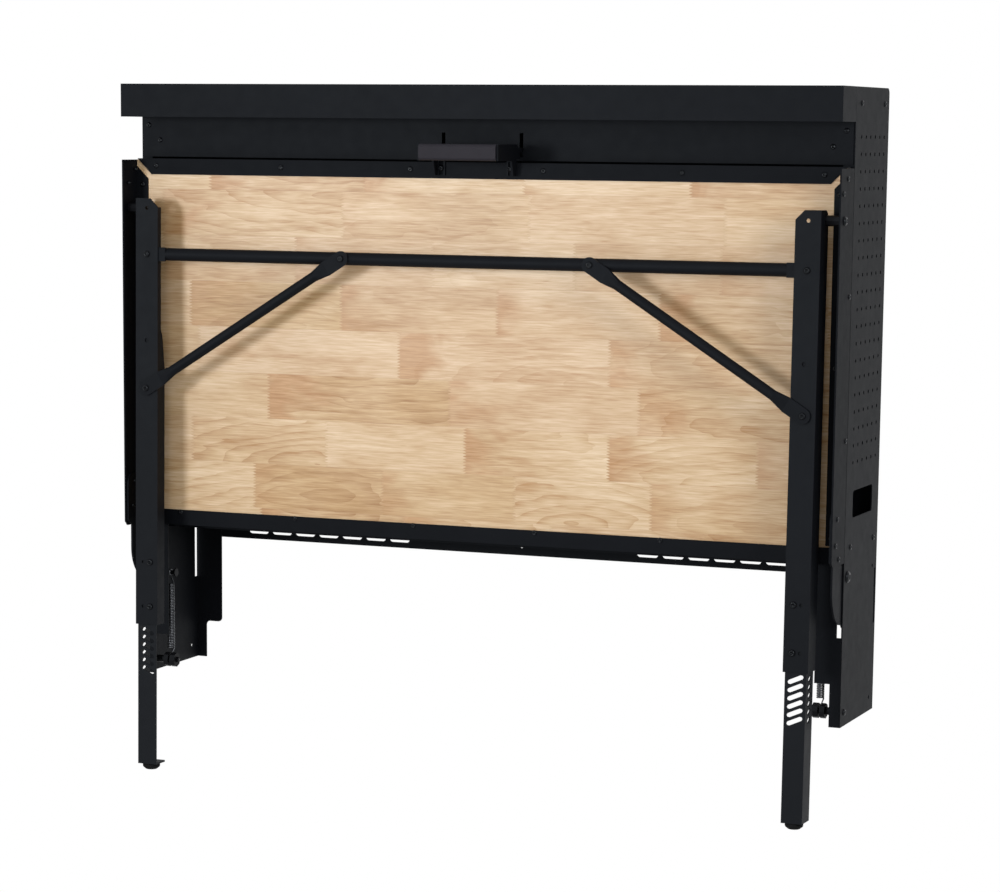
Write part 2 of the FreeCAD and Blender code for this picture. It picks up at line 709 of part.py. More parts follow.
def back_panel():
    """Back of the cabinet, set forward of the wall by its folds."""
    face = (-BACK_PANEL_GAP - SHEET, -BACK_PANEL_GAP)
    half = PANEL_IN - SHEET - RAIL_END_GAP
    span = (-half, half)
    low = SHELF_HEIGHT
    high = PANEL_HEIGHT - TOP_STRIP_DROP
    plate = box(span, face, (low, high))
    foot = box(span, (-BACK_PANEL_GAP, -SHEET), (low, low + SHEET))
    head = box(span, (-BACK_PANEL_GAP, -SHEET), (high - SHEET, high))
    return joined([plate, foot, head])


def hinge_plate():
    """Steel plate in each corner of the bench: round cam about the hinge, tail for the spring, upright on the rail."""
    span = (PLATE_IN, PLATE_OUT)
    nose = -PLATE_NOSE + HINGE_Y
    cam_foot = HINGE_HEIGHT - PLATE_CAM_DROP
    cam = slab_x(
        [
            (HINGE_Y, cam_foot),
            (nose, cam_foot),
            (nose, RAIL_FOOT),
            (HINGE_Y, HINGE_HEIGHT + PLATE_SHOULDER),
        ],
        span,
        [0, PLATE_CAM_R, 0, 0],
    )
    hub = turned(PLATE_IN, HINGE_Y, HINGE_HEIGHT, ALONG_X, PLATE, PLATE_SHOULDER)
    tail_end = turned(PLATE_IN, HINGE_Y, STUD_HEIGHT, ALONG_X, PLATE, PLATE_TAIL_R)
    tail = slab_x(
        [
            (HINGE_Y - PLATE_TAIL_R, STUD_HEIGHT),
            (HINGE_Y + PLATE_TAIL_R, STUD_HEIGHT),
            (HINGE_Y + PLATE_SHOULDER, HINGE_HEIGHT),
            (HINGE_Y - PLATE_SHOULDER, HINGE_HEIGHT),
        ],
        span,
    )
    front = RAIL_FRONT + PLATE_FRONT_INSET
    rear = RAIL_FACE - PLATE_REAR_GAP
    upright = slab_x(
        [
            (nose, HINGE_HEIGHT - PLATE_TAIL_R),
            (rear, HINGE_HEIGHT - PLATE_TAIL_R),
            (rear, PLATE_TOP),
            (front, PLATE_TOP),
            (front, RAIL_FOOT + PLATE_FRONT_RISE),
            (nose, RAIL_FOOT),
        ],
        span,
        [0, 0, PLATE_TAIL_R, PLATE_TAIL_R, 0, 0],
    )
    plate = joined([cam, hub, tail_end, tail, upright])
    bush_hole = turned(PLATE_IN, HINGE_Y, HINGE_HEIGHT, ALONG_X, PLATE, HINGE_BOLT_R + RUNNING_FIT + BUSH_WALL)
    stud_hole = rod(PLATE_IN, HINGE_Y, STUD_HEIGHT, ALONG_X, PLATE, SPRING_STUD_R + SEAT_FIT)
    return plate.cut([bush_hole, stud_hole] + [screw_hole(*place) for place in plate_bolt_places()])


def plate_bolt_places():
    """Screws that hold the hinge plate to the side rail."""
    inward = ALONG_X * -1
    pairs = zip(PLATE_BOLT_FORWARD, PLATE_BOLT_RISES)
    return [(HALF, BENCH_BACK - forward, HINGE_HEIGHT + rise, inward) for forward, rise in pairs]


def corner_bolt_places():
    """Screws through the side rail at the front corner of the bench."""
    inward = ALONG_X * -1
    pairs = zip(CORNER_BOLT_FORWARD, CORNER_BOLT_DROPS)
    return [(HALF, BENCH_BACK - forward, WOOD_TOP - drop, inward) for forward, drop in pairs]


def bench_screw_places():
    """Small screws of the bench: front and rear rails, side flanges and the ends of the wood."""
    places = []
    for share in FRONT_SCREW_SHARES:
        places.append((HALF * share, RAIL_FACE, WOOD_TOP + SHEET - RAIL_SCREW_INSET, ALONG_Y))
    for share in REAR_SCREW_SHARES:
        places.append((HALF * share, RAIL_FACE, WOOD_FOOT - SHEET + 2 * RAIL_SCREW_INSET - SHEET, ALONG_Y))
    for share in SIDE_SCREW_SHARES:
        places.append((RAIL_IN - RAIL_SCREW_INSET, RAIL_FACE, WOOD_FOOT + WOOD_TALL * share, ALONG_Y))
    for share in EDGE_SCREW_SHARES:
        places.append((HALF, BENCH_BACK - WOOD / 2, WOOD_FOOT + WOOD_TALL * share, ALONG_X * -1))
    return places


def bench_holes():
    """Cutters for the small screws of the bench on both sides."""
    holes = [screw_hole(*place) for place in bench_screw_places()]
    return holes + [mirrored(hole) for hole in holes]


def guide_hole(radius, depth):
    """Cutter for the latch guide bolts, from the face of the front rail into the wood."""
    x = LATCH_SPREAD - LATCH_ARM / 2 - TAB_WIDTH / 2
    return both(rod(x, RAIL_FACE - SHEET, GUIDE_HEIGHT, ALONG_Y, depth, radius))


def bench_top():
    """Wooden top, its work surface towards the wall while it is folded."""
    half = RAIL_IN - WOOD_SIDE_GAP
    wood = box((-half, half), (WOOD_UNDER, BENCH_BACK), (WOOD_FOOT, WOOD_TOP))
    rims = [e for e in wood.Edges if abs(e.CenterOfMass.y - BENCH_BACK) < SEAT_FIT]
    wood = wood.makeFillet(WOOD_EDGE_R, rims)
    return wood.cut(bench_holes() + guide_hole(GUIDE_BOLT_R + SEAT_FIT, GUIDE_DEPTH + SHEET))


def front_rail():
    """Angle along the front edge of the wood, with mitred ends."""
    top = WOOD_TOP + SHEET
    foot = top - FRONT_RAIL_FLANGE
    half_top = RAIL_IN - SHEET
    flange = slab_y(
        [
            (half_top - FRONT_RAIL_FLANGE, foot),
            (half_top, top),
            (-half_top, top),
            (-half_top + FRONT_RAIL_FLANGE, foot),
        ],
        (RAIL_FACE, WOOD_UNDER),
    )
    wrap = box((-half_top, half_top), (WOOD_UNDER, WOOD_UNDER + EDGE_WRAP), (WOOD_TOP, top))
    return joined([flange, wrap]).cut(bench_holes() + guide_hole(GUIDE_BOLT_R + SEAT_FIT, GUIDE_DEPTH))


def rear_rail():
    """Angle along the rear edge of the wood, the lower edge while it is folded."""
    foot = WOOD_FOOT - SHEET
    half = RAIL_IN - RAIL_END_GAP
    flange = box((-half, half), (RAIL_FACE, WOOD_UNDER), (foot, foot + REAR_RAIL_FLANGE))
    wrap = box((-half, half), (WOOD_UNDER, WOOD_UNDER + EDGE_WRAP), (foot, WOOD_FOOT))
    return joined([flange, wrap]).cut(bench_holes())


def side_rail():
    """Right rail of the bench: deep web beside the folded leg, and a flange under the wood."""
    web = slab_x(
        [
            (BENCH_BACK, RAIL_FOOT),
            (BENCH_BACK, WOOD_TOP),
            (RAIL_FRONT, WOOD_TOP),
            (RAIL_FRONT, RAIL_FOOT + RAIL_NOTCH),
            (RAIL_FRONT + RAIL_NOTCH, RAIL_FOOT),
        ],
        (RAIL_IN, HALF),
    )
    mitre_in = WOOD_TOP + SHEET - FRONT_RAIL_FLANGE - MITRE_GAP + SHEET
    flange = slab_y(
        [
            (RAIL_IN, RAIL_FLANGE_FOOT),
            (RAIL_IN - RAIL_FLANGE, RAIL_FLANGE_FOOT),
            (RAIL_IN - RAIL_FLANGE, mitre_in),
            (RAIL_IN, mitre_in + RAIL_FLANGE),
        ],
        (RAIL_FACE, WOOD_UNDER),
    )
    holes = [screw_hole(*place) for place in bench_screw_places() + plate_bolt_places() + corner_bolt_places()]
    holes.append(turned(HALF, PIVOT_Y, PIVOT_HEIGHT, ALONG_X * -1, OVERRUN, PIVOT_BOLT_R + SEAT_FIT))
    return joined([web, flange]).cut(holes)


def leg():
    """Right leg: channel with a chamfered top, a deep outer flange and an inner flange that widens downwards."""
    web = slab_y(
        [
            (LEG_OUT, LEG_FOOT),
            (LEG_IN, LEG_FOOT),
            (LEG_IN, LEG_TOP - LEG_CHAMFER),
            (LEG_IN + LEG_CHAMFER, LEG_TOP),
            (LEG_OUT, LEG_TOP),
        ],
        (LEG_FRONT, LEG_BACK),
    )
    outer = slab_x(
        [
            (LEG_FRONT, LEG_FOOT),
            (LEG_FRONT + OUTER_FLANGE, LEG_FOOT),
            (LEG_FRONT + OUTER_FLANGE, LEG_TOP),
            (LEG_FRONT, LEG_TOP),
        ],
        (LEG_OUT - LEG_SHEET, LEG_OUT),
        [0, 0, LEG_CHAMFER, 0],
    )
    step = LEG_TOP - LEG_CHAMFER - INNER_STEP_FALL
    inner = slab_x(
        [
            (LEG_FRONT, LEG_FOOT),
            (LEG_FRONT + INNER_FLANGE_LOW, LEG_FOOT),
            (LEG_FRONT + INNER_FLANGE_LOW, step - INNER_STEP_RUN - INNER_TAPER_RUN),
            (LEG_FRONT + INNER_FLANGE_STEP, step - INNER_STEP_RUN),
            (LEG_FRONT + INNER_FLANGE_HIGH, step),
            (LEG_FRONT + INNER_FLANGE_HIGH, LEG_TOP - LEG_CHAMFER),
            (LEG_FRONT, LEG_TOP - LEG_CHAMFER),
        ],
        (LEG_IN, LEG_IN + LEG_SHEET),
    )
    channel = joined([web, outer, inner])
    cutters = [
        turned(LEG_OUT - OVERRUN, PIVOT_Y, PIVOT_HEIGHT, ALONG_X, 2 * OVERRUN, PIVOT_BOLT_R + RUNNING_FIT),
        rod(LEG_MIDDLE, LEG_FRONT - OVERRUN, PIVOT_HEIGHT, ALONG_Y, 2 * OVERRUN, LEG_TOP_HOLE_R),
        rod(LEG_MIDDLE, LEG_FRONT - OVERRUN, PIVOT_HEIGHT - LEG_MID_HOLE_FALL, ALONG_Y, 2 * OVERRUN, LEG_MID_HOLE_R),
        box(
            (LEG_IN, LEG_IN + LEG_SHEET),
            (LEG_BACK, LEG_BACK + CROSS_FLAT + FLAT_SLOT_GAP),
            (CROSS_HEIGHT - CROSS_FLAT_TALL / 2 - FLAT_SLOT_GAP, CROSS_HEIGHT + CROSS_FLAT_TALL / 2 + FLAT_SLOT_GAP),
        ),
    ]
    for fall in (CROSS_FALL, BRACE_FALL):
        cutters.append(rod(LEG_MIDDLE, LEG_FRONT, PIVOT_HEIGHT - fall, ALONG_Y, OVERRUN, FRAME_BOLT_R + SEAT_FIT))
    for fall in (CLAMP_FALL_HIGH, CLAMP_FALL_LOW):
        for x in (LEG_MIDDLE - CLAMP_SIDE, LEG_MIDDLE + CLAMP_SIDE):
            cutters.append(rod(x, LEG_FRONT, PIVOT_HEIGHT - fall, ALONG_Y, OVERRUN, CLAMP_BOLT_R + SEAT_FIT))
    middle_hole = PIVOT_HEIGHT - LEG_MID_HOLE_FALL
    half_patch = LEG_PATCH / 2
    patch = box(
        (LEG_MIDDLE - half_patch, LEG_MIDDLE + half_patch),
        (LEG_BACK, LEG_BACK + LEG_SHEET),
        (middle_hole - half_patch, middle_hole + half_patch),
    )
    return joined([channel.cut(cutters), patch])


def brace_flat(x, height, direction, y_span, half_width, length):
    """Flattened end of a brace: round about its bolt, and straight towards the tube."""
    start = V(x, y_span[0], up(height))
    side = direction.cross(ALONG_Y).normalize() * half_width
    end = start + direction * length
    edges = [
        Part.Arc(start + side, start - direction * half_width, start - side).toShape(),
        Part.LineSegment(start - side, end - side).toShape(),
        Part.LineSegment(end - side, end + side).toShape(),
        Part.LineSegment(end + side, start + side).toShape(),
    ]
    return Part.Face(Part.Wire(edges)).extrude(V(0, y_span[1] - y_span[0], 0))


def brace_section(centre, direction, half_wide, half_thick, wide_share, thick_share):
    """Closed outline across a brace, from a circle to a flat with the given shares of squareness."""
    side = direction.cross(ALONG_Y).normalize()
    points = []
    for k in range(BRACE_POINTS):
        angle = 2 * math.pi * (k + 1 / 2) / BRACE_POINTS
        across = max(-1, min(1, wide_share * math.cos(angle)))
        through = max(-1, min(1, thick_share * math.sin(angle)))
        points.append(centre + side * (across * half_wide) + ALONG_Y * (through * half_thick))
    return Part.makePolygon(points + points[:1])


def brace_taper(x, height, direction, flat_middle):
    """Part of a brace where the round tube is pressed into the flat of its end."""
    flat = V(x, flat_middle, up(height)) + direction * BRACE_FLAT_RUN
    round_place = V(x, LEG_FRONT, up(height)) + direction * (BRACE_FLAT_RUN + BRACE_TAPER)
    sections = [
        brace_section(flat, direction, BRACE_FLAT_R, BRACE_FLAT / 2, FLAT_WIDE_SHARE, FLAT_THIN_SHARE),
        brace_section(round_place, direction, BRACE_TUBE_R, BRACE_TUBE_R, 1, 1),
    ]
    return Part.makeLoft(sections, True, True)


def brace():
    """Right brace: tube pressed flat before the cross tube and before the web of the leg."""
    pieces = []
    for x, height, direction, y_span in (
        (LEG_MIDDLE, BRACE_HEIGHT, BRACE_DIRECTION, (LEG_FRONT - BRACE_FLAT, LEG_FRONT)),
        (BRACE_SPREAD, CROSS_HEIGHT, BRACE_DIRECTION * -1, (LEG_BACK - BRACE_FLAT, LEG_BACK)),
    ):
        pieces.append(brace_flat(x, height, direction, y_span, BRACE_FLAT_R, BRACE_FLAT_RUN))
        pieces.append(brace_taper(x, height, direction, (y_span[0] + y_span[1]) / 2))
    run_in = BRACE_FLAT_RUN + BRACE_TAPER
    start = V(LEG_MIDDLE, LEG_FRONT, up(BRACE_HEIGHT)) + BRACE_DIRECTION * run_in
    pieces.append(Part.makeCylinder(BRACE_TUBE_R, BRACE_RUN - 2 * run_in, start, BRACE_DIRECTION))
    holes = [
        rod(LEG_MIDDLE, LEG_FRONT - OVERRUN, BRACE_HEIGHT, ALONG_Y, 2 * OVERRUN, FRAME_BOLT_R + SEAT_FIT),
        rod(BRACE_SPREAD, LEG_BACK - OVERRUN, CROSS_HEIGHT, ALONG_Y, 2 * OVERRUN, FRAME_BOLT_R + SEAT_FIT),
    ]
    return joined(pieces).cut(holes)


def cross_tube():
    """Tube between the legs, with flattened ends that lie behind their webs."""
    tube_half = LEG_IN - CROSS_TUBE_SHORT
    tube = turned(-tube_half, CROSS_Y, CROSS_HEIGHT, ALONG_X, 2 * tube_half, CROSS_TUBE_R)
    bore = turned(-tube_half, CROSS_Y, CROSS_HEIGHT, ALONG_X, 2 * tube_half, CROSS_TUBE_R - CROSS_WALL)
    half_tall = CROSS_FLAT_TALL / 2
    end = slab_y(
        [
            (tube_half - CROSS_TUBE_SHORT, CROSS_HEIGHT - half_tall),
            (LEG_OUT - LEG_SHEET - CROSS_END_MARGIN, CROSS_HEIGHT - half_tall),
            (LEG_OUT - LEG_SHEET - CROSS_END_MARGIN, CROSS_HEIGHT + half_tall),
            (tube_half - CROSS_TUBE_SHORT, CROSS_HEIGHT + half_tall),
        ],
        (LEG_BACK, LEG_BACK + CROSS_FLAT),
        [0, half_tall - SEAT_FIT, half_tall - SEAT_FIT, 0],
    )
    holes = []
    for x in (LEG_MIDDLE, BRACE_SPREAD):
        depth = CROSS_TUBE_R
        holes += both(rod(x, LEG_FRONT - OVERRUN, CROSS_HEIGHT, ALONG_Y, OVERRUN + LEG_SHEET + depth, FRAME_BOLT_R + SEAT_FIT))
    return joined([tube.cut(bore)] + both(end)).cut(holes)


def extension():
    """Right leg extension: angle inside the leg, with slanted height slots and a foot plate."""
    top = PIVOT_HEIGHT - EXT_TOP_FALL
    web = box((EXT_IN, EXT_OUT), (EXT_FRONT, EXT_BACK), (EXT_FOOT, top))
    flange = box((EXT_OUT - EXT_SHEET, EXT_OUT), (EXT_FRONT, EXT_FRONT + EXT_FLANGE), (EXT_FOOT, top))
    plate = box((EXT_IN, EXT_OUT), (EXT_FRONT, EXT_FRONT + EXT_PLATE_DEPTH), (EXT_FOOT, EXT_FOOT + EXT_PLATE))
    angle = joined([web, flange, plate])
    run_high = PIVOT_HEIGHT - EXT_RUN_TOP_FALL
    run_low = PIVOT_HEIGHT - EXT_RUN_FOOT_FALL
    cutters = []
    x = LEG_MIDDLE - CLAMP_SIDE
    half_width = EXT_RUN_WIDTH / 2
    cutters.append(
        slab_y(
            [
                (x - half_width, run_low),
                (x + half_width, run_low),
                (x + half_width, run_high),
                (x - half_width, run_high),
            ],
            (EXT_FRONT - OVERRUN, EXT_BACK + OVERRUN / 2),
            [half_width - SEAT_FIT] * 4,
        )
    )
    side_slot_y = (EXT_BACK + EXT_FRONT + EXT_FLANGE) / 2
    for i in range(EXT_SLOTS):
        height = PIVOT_HEIGHT - EXT_SLOT_FALL - i * EXT_STEP
        cutters.append(
            slot_bar(
                LEG_MIDDLE, EXT_FRONT - OVERRUN, height, ALONG_Y,
                EXT_SLOT_LENGTH, EXT_SLOT_WIDTH, -EXT_SLOT_SLANT, 2 * OVERRUN - EXT_SHEET,
            )
        )
        cutters.append(
            slot_bar(
                EXT_OUT - OVERRUN / 2, side_slot_y, height, ALONG_X,
                EXT_SIDE_SLOT_LENGTH, EXT_SLOT_WIDTH, EXT_SLOT_SLANT, OVERRUN,
            )
        )
    cutters.append(rod(LEG_MIDDLE, FOOT_Y, EXT_FOOT - OVERRUN, ALONG_Z, 2 * OVERRUN, FOOT_STUD_R + RUNNING_FIT))
    return angle.cut(cutters)


FOOT_Y = EXT_FRONT + EXT_PLATE_DEPTH / 2
FOOT_PAD_TOP = EXT_FOOT - FOOT_PLATE_GAP


def foot():
    """Levelling foot: domed pad on a threaded stud."""
    floor = FOOT_PAD_TOP - FOOT_DOME - FOOT_PAD
    pad = polygon_rod(LEG_MIDDLE, FOOT_Y, floor, ALONG_Z, FOOT_PAD + FOOT_DOME, FOOT_R, FOOT_SIDES)
    rim = [e for e in pad.Edges if e.BoundBox.ZMin > up(FOOT_PAD_TOP) - SEAT_FIT]
    pad = pad.makeChamfer(FOOT_DOME, FOOT_R - FOOT_CROWN_R, rim)
    stud = rod(LEG_MIDDLE, FOOT_Y, FOOT_PAD_TOP, ALONG_Z, FOOT_STUD, FOOT_STUD_R)
    return joined([pad, stud])


def foot_nut():
    """Nut welded over the foot plate."""
    height = EXT_FOOT + EXT_PLATE
    nut = polygon_rod(LEG_MIDDLE, FOOT_Y, height, ALONG_Z, FOOT_NUT, FOOT_NUT_R, SCREW_SIDES)
    return nut.cut(rod(LEG_MIDDLE, FOOT_Y, height, ALONG_Z, FOOT_NUT, FOOT_STUD_R + RUNNING_FIT))


def arc_to(start, tangent, end):
    """Arc that leaves a point along a tangent and reaches another point."""
    chord = end - start
    along = V(chord.x, chord.y, chord.z).normalize()
    off = tangent - along * tangent.dot(along)
    angle = tangent.getAngle(chord)
    if off.Length < SEAT_FIT * SEAT_FIT:
        return Part.LineSegment(start, end).toShape()
    middle = (start + end) * 0.5 + off.normalize() * (chord.Length / 2 * math.tan(angle / 2))
    return Part.Arc(start, middle, end).toShape()


def biarc(start, tangent, end, end_tangent):
    """Two arcs that join two points along the given tangents."""
    span = end - start
    both_ways = tangent + end_tangent
    turn = 2 * (1 - tangent.dot(end_tangent))
    if turn < SEAT_FIT * SEAT_FIT:
        return [Part.LineSegment(start, end).toShape()]
    lean = span.dot(both_ways)
    reach = (-lean + math.sqrt(lean * lean + turn * span.dot(span))) / turn
    middle = (start + end + (tangent - end_tangent) * reach) * 0.5
    first = arc_to(start, tangent, middle)
    last = arc_to(end, end_tangent * -1, middle)
    return [first, last]


def spring_stations():
    """Points and directions along the wire of the right spring: lower loop, coil, upper loop."""
    stations = []
    axis = V(SPRING_X, HINGE_Y, 0)
    loop_steps = 3
    for k in range(loop_steps + 1):
        angle = math.radians(90 - 90 * (loop_steps - k))
        place = V(0, math.sin(angle), -math.cos(angle)) * SPRING_COIL_R
        stations.append((axis + V(0, 0, up(ANCHOR_HEIGHT)) + place, V(0, math.cos(angle), math.sin(angle))))
    quarter_turns = 4 * SPRING_TURNS
    climb = (SPRING_COIL_TOP - SPRING_COIL_FOOT) / quarter_turns
    stations.append((axis + V(0, SPRING_COIL_R, up(SPRING_COIL_FOOT - SPRING_LEAD)), ALONG_Z))
    slope = climb / (SPRING_COIL_R * math.pi / 2)
    for k in range(1, quarter_turns, 2):
        angle = math.radians(90 * k)
        height = up(SPRING_COIL_FOOT) + climb * k
        direction = V(-math.cos(angle), -math.sin(angle), slope).normalize()
        stations.append((axis + V(-math.sin(angle), math.cos(angle), 0) * SPRING_COIL_R + V(0, 0, height), direction))
    stations.append((axis + V(0, SPRING_COIL_R, up(SPRING_COIL_TOP + SPRING_LEAD)), ALONG_Z))
    for k in range(loop_steps + 1):
        angle = math.radians(90 * k)
        place = V(0, math.cos(angle), math.sin(angle)) * SPRING_COIL_R
        stations.append((axis + V(0, 0, up(STUD_HEIGHT)) + place, V(0, -math.sin(angle), math.cos(angle))))
    return stations


def spring():
    """Right counterbalance spring, one unbroken wire with a loop at each end."""
    stations = spring_stations()
    edges = []
    for (start, tangent), (end, end_tangent) in zip(stations, stations[1:]):
        edges += biarc(start, tangent, end, end_tangent)
    path = Part.Wire(edges)
    start, tangent = stations[0]
    across = ALONG_X
    other = tangent.cross(across)
    ring_points = []
    for k in range(SPRING_WIRE_SIDES + 1):
        angle = math.radians(360 * k / SPRING_WIRE_SIDES)
        ring_points.append(start + (across * math.cos(angle) + other * math.sin(angle)) * SPRING_WIRE_R)
    shell = Part.BRepOffsetAPI.MakePipeShell(path)
    shell.add(Part.makePolygon(ring_points))
    shell.build()
    shell.makeSolid()
    wire = shell.shape()
    points = path.discretize(Number=40 * SPRING_TURNS)
    window = 24
    gaps = [(points[i] - points[j]).Length for i in range(len(points)) for j in range(i + window, len(points))]
    expected = path.Length * SPRING_WIRE_SIDES / 2 * SPRING_WIRE_R**2 * math.sin(2 * math.pi / SPRING_WIRE_SIDES)
    print("spring wire length", round(path.Length, 1), "gap to itself", round(min(gaps) - 2 * SPRING_WIRE_R, 2))
    print("spring volume", round(wire.Volume, 1), "section times length", round(expected, 1))
    return wire


def spring_spool():
    """Spool on the anchor bolt, whose groove holds the lower loop of the spring."""
    inner = SPRING_X - SPOOL_GROOVE / 2 - SPOOL_IN
    length = SPOOL_IN + SPOOL_GROOVE + SPOOL_OUT
    body = rod(inner, HINGE_Y, ANCHOR_HEIGHT, ALONG_X, length, SPOOL_R)
    groove = ring(inner + SPOOL_IN, HINGE_Y, ANCHOR_HEIGHT, ALONG_X, SPOOL_GROOVE, SPOOL_R, SPOOL_GROOVE_R)
    bore = rod(inner, HINGE_Y, ANCHOR_HEIGHT, ALONG_X, length, ANCHOR_BOLT_R + SEAT_FIT)
    return body.cut([groove, bore])


def latch_arm():
    """Right arm of the latch: side plate from the grip to the hook, with a slotted tab on the front rail."""
    rear = -PANEL_DEPTH - ARM_REAR_FORWARD
    lip_front = -PANEL_DEPTH + HOOK_LIP_GAP
    lip_rear = lip_front + HOOK_LIP
    tab_front = RAIL_FACE - TAB_GAP - TAB
    span = (LATCH_SPREAD - LATCH_ARM / 2, LATCH_SPREAD + LATCH_ARM / 2)
    grip_top = GRIP_FOOT + GRIP_TALL
    plate = slab_x(
        [
            (GRIP_FRONT + GRIP_INSET, GRIP_FOOT),
            (GRIP_FRONT + GRIP_INSET, grip_top),
            (rear - HOOK_SHANK / 2, grip_top),
            (rear - HOOK_SHANK / 2, HOOK_TOP),
            (lip_rear, HOOK_TOP),
            (lip_rear, HOOK_LIP_FOOT),
            (lip_front, HOOK_LIP_FOOT),
            (lip_front, HOOK_UNDER),
            (rear, HOOK_UNDER),
            (rear, GRIP_FOOT + ARM_LIFT),
            (RAIL_FACE - TAB_GAP, GRIP_FOOT + ARM_LIFT),
            (RAIL_FACE - TAB_GAP, ARM_FOOT),
            (tab_front - HOOK_SHANK / 2, ARM_FOOT),
            (-PANEL_DEPTH - ARM_LUG_FORWARD, GRIP_FOOT),
        ],
        span,
    )
    tab = box((span[0] - TAB_WIDTH, span[0]), (tab_front, RAIL_FACE - TAB_GAP), (ARM_FOOT, TAB_TOP))
    middle = span[0] - TAB_WIDTH / 2
    slot_half = GUIDE_BOLT_R + GUIDE_GAP
    slot = box(
        (middle - slot_half, middle + slot_half),
        (tab_front - TAB, RAIL_FACE),
        (GUIDE_HEIGHT - slot_half - GUIDE_TRAVEL, GUIDE_HEIGHT + slot_half + GUIDE_TRAVEL),
    )
    flap = box(
        (span[0] - TAB_WIDTH, span[0]),
        (GRIP_BACK, GRIP_BACK + TAB),
        (GRIP_FOOT, grip_top),
    )
    flap_screw = rod(middle, GRIP_BACK, GRIP_MIDDLE, ALONG_Y, OVERRUN, GRIP_SCREW_R + SEAT_FIT)
    return joined([plate, tab, flap]).cut([slot, flap_screw])


GRIP_MIDDLE = GRIP_FOOT + GRIP_TALL / 2
GRIP_SCREW_X = LATCH_SPREAD - LATCH_ARM / 2 - TAB_WIDTH / 2


def handle_grip():
    """Moulded grip bar across the two latch arms."""
    half = GRIP_WIDTH / 2
    bar = slab_x(
        [
            (GRIP_FRONT, GRIP_FOOT),
            (GRIP_BACK, GRIP_FOOT),
            (GRIP_BACK, GRIP_FOOT + GRIP_TALL),
            (GRIP_FRONT, GRIP_FOOT + GRIP_TALL),
        ],
        (-half, half),
        [GRIP_R, 0, 0, GRIP_R],
    )
    holes = both(rod(GRIP_SCREW_X, GRIP_BACK - GRIP_SCREW / 2, GRIP_MIDDLE, ALONG_Y, GRIP_SCREW, GRIP_SCREW_R + SEAT_FIT))
    return bar.cut(holes)


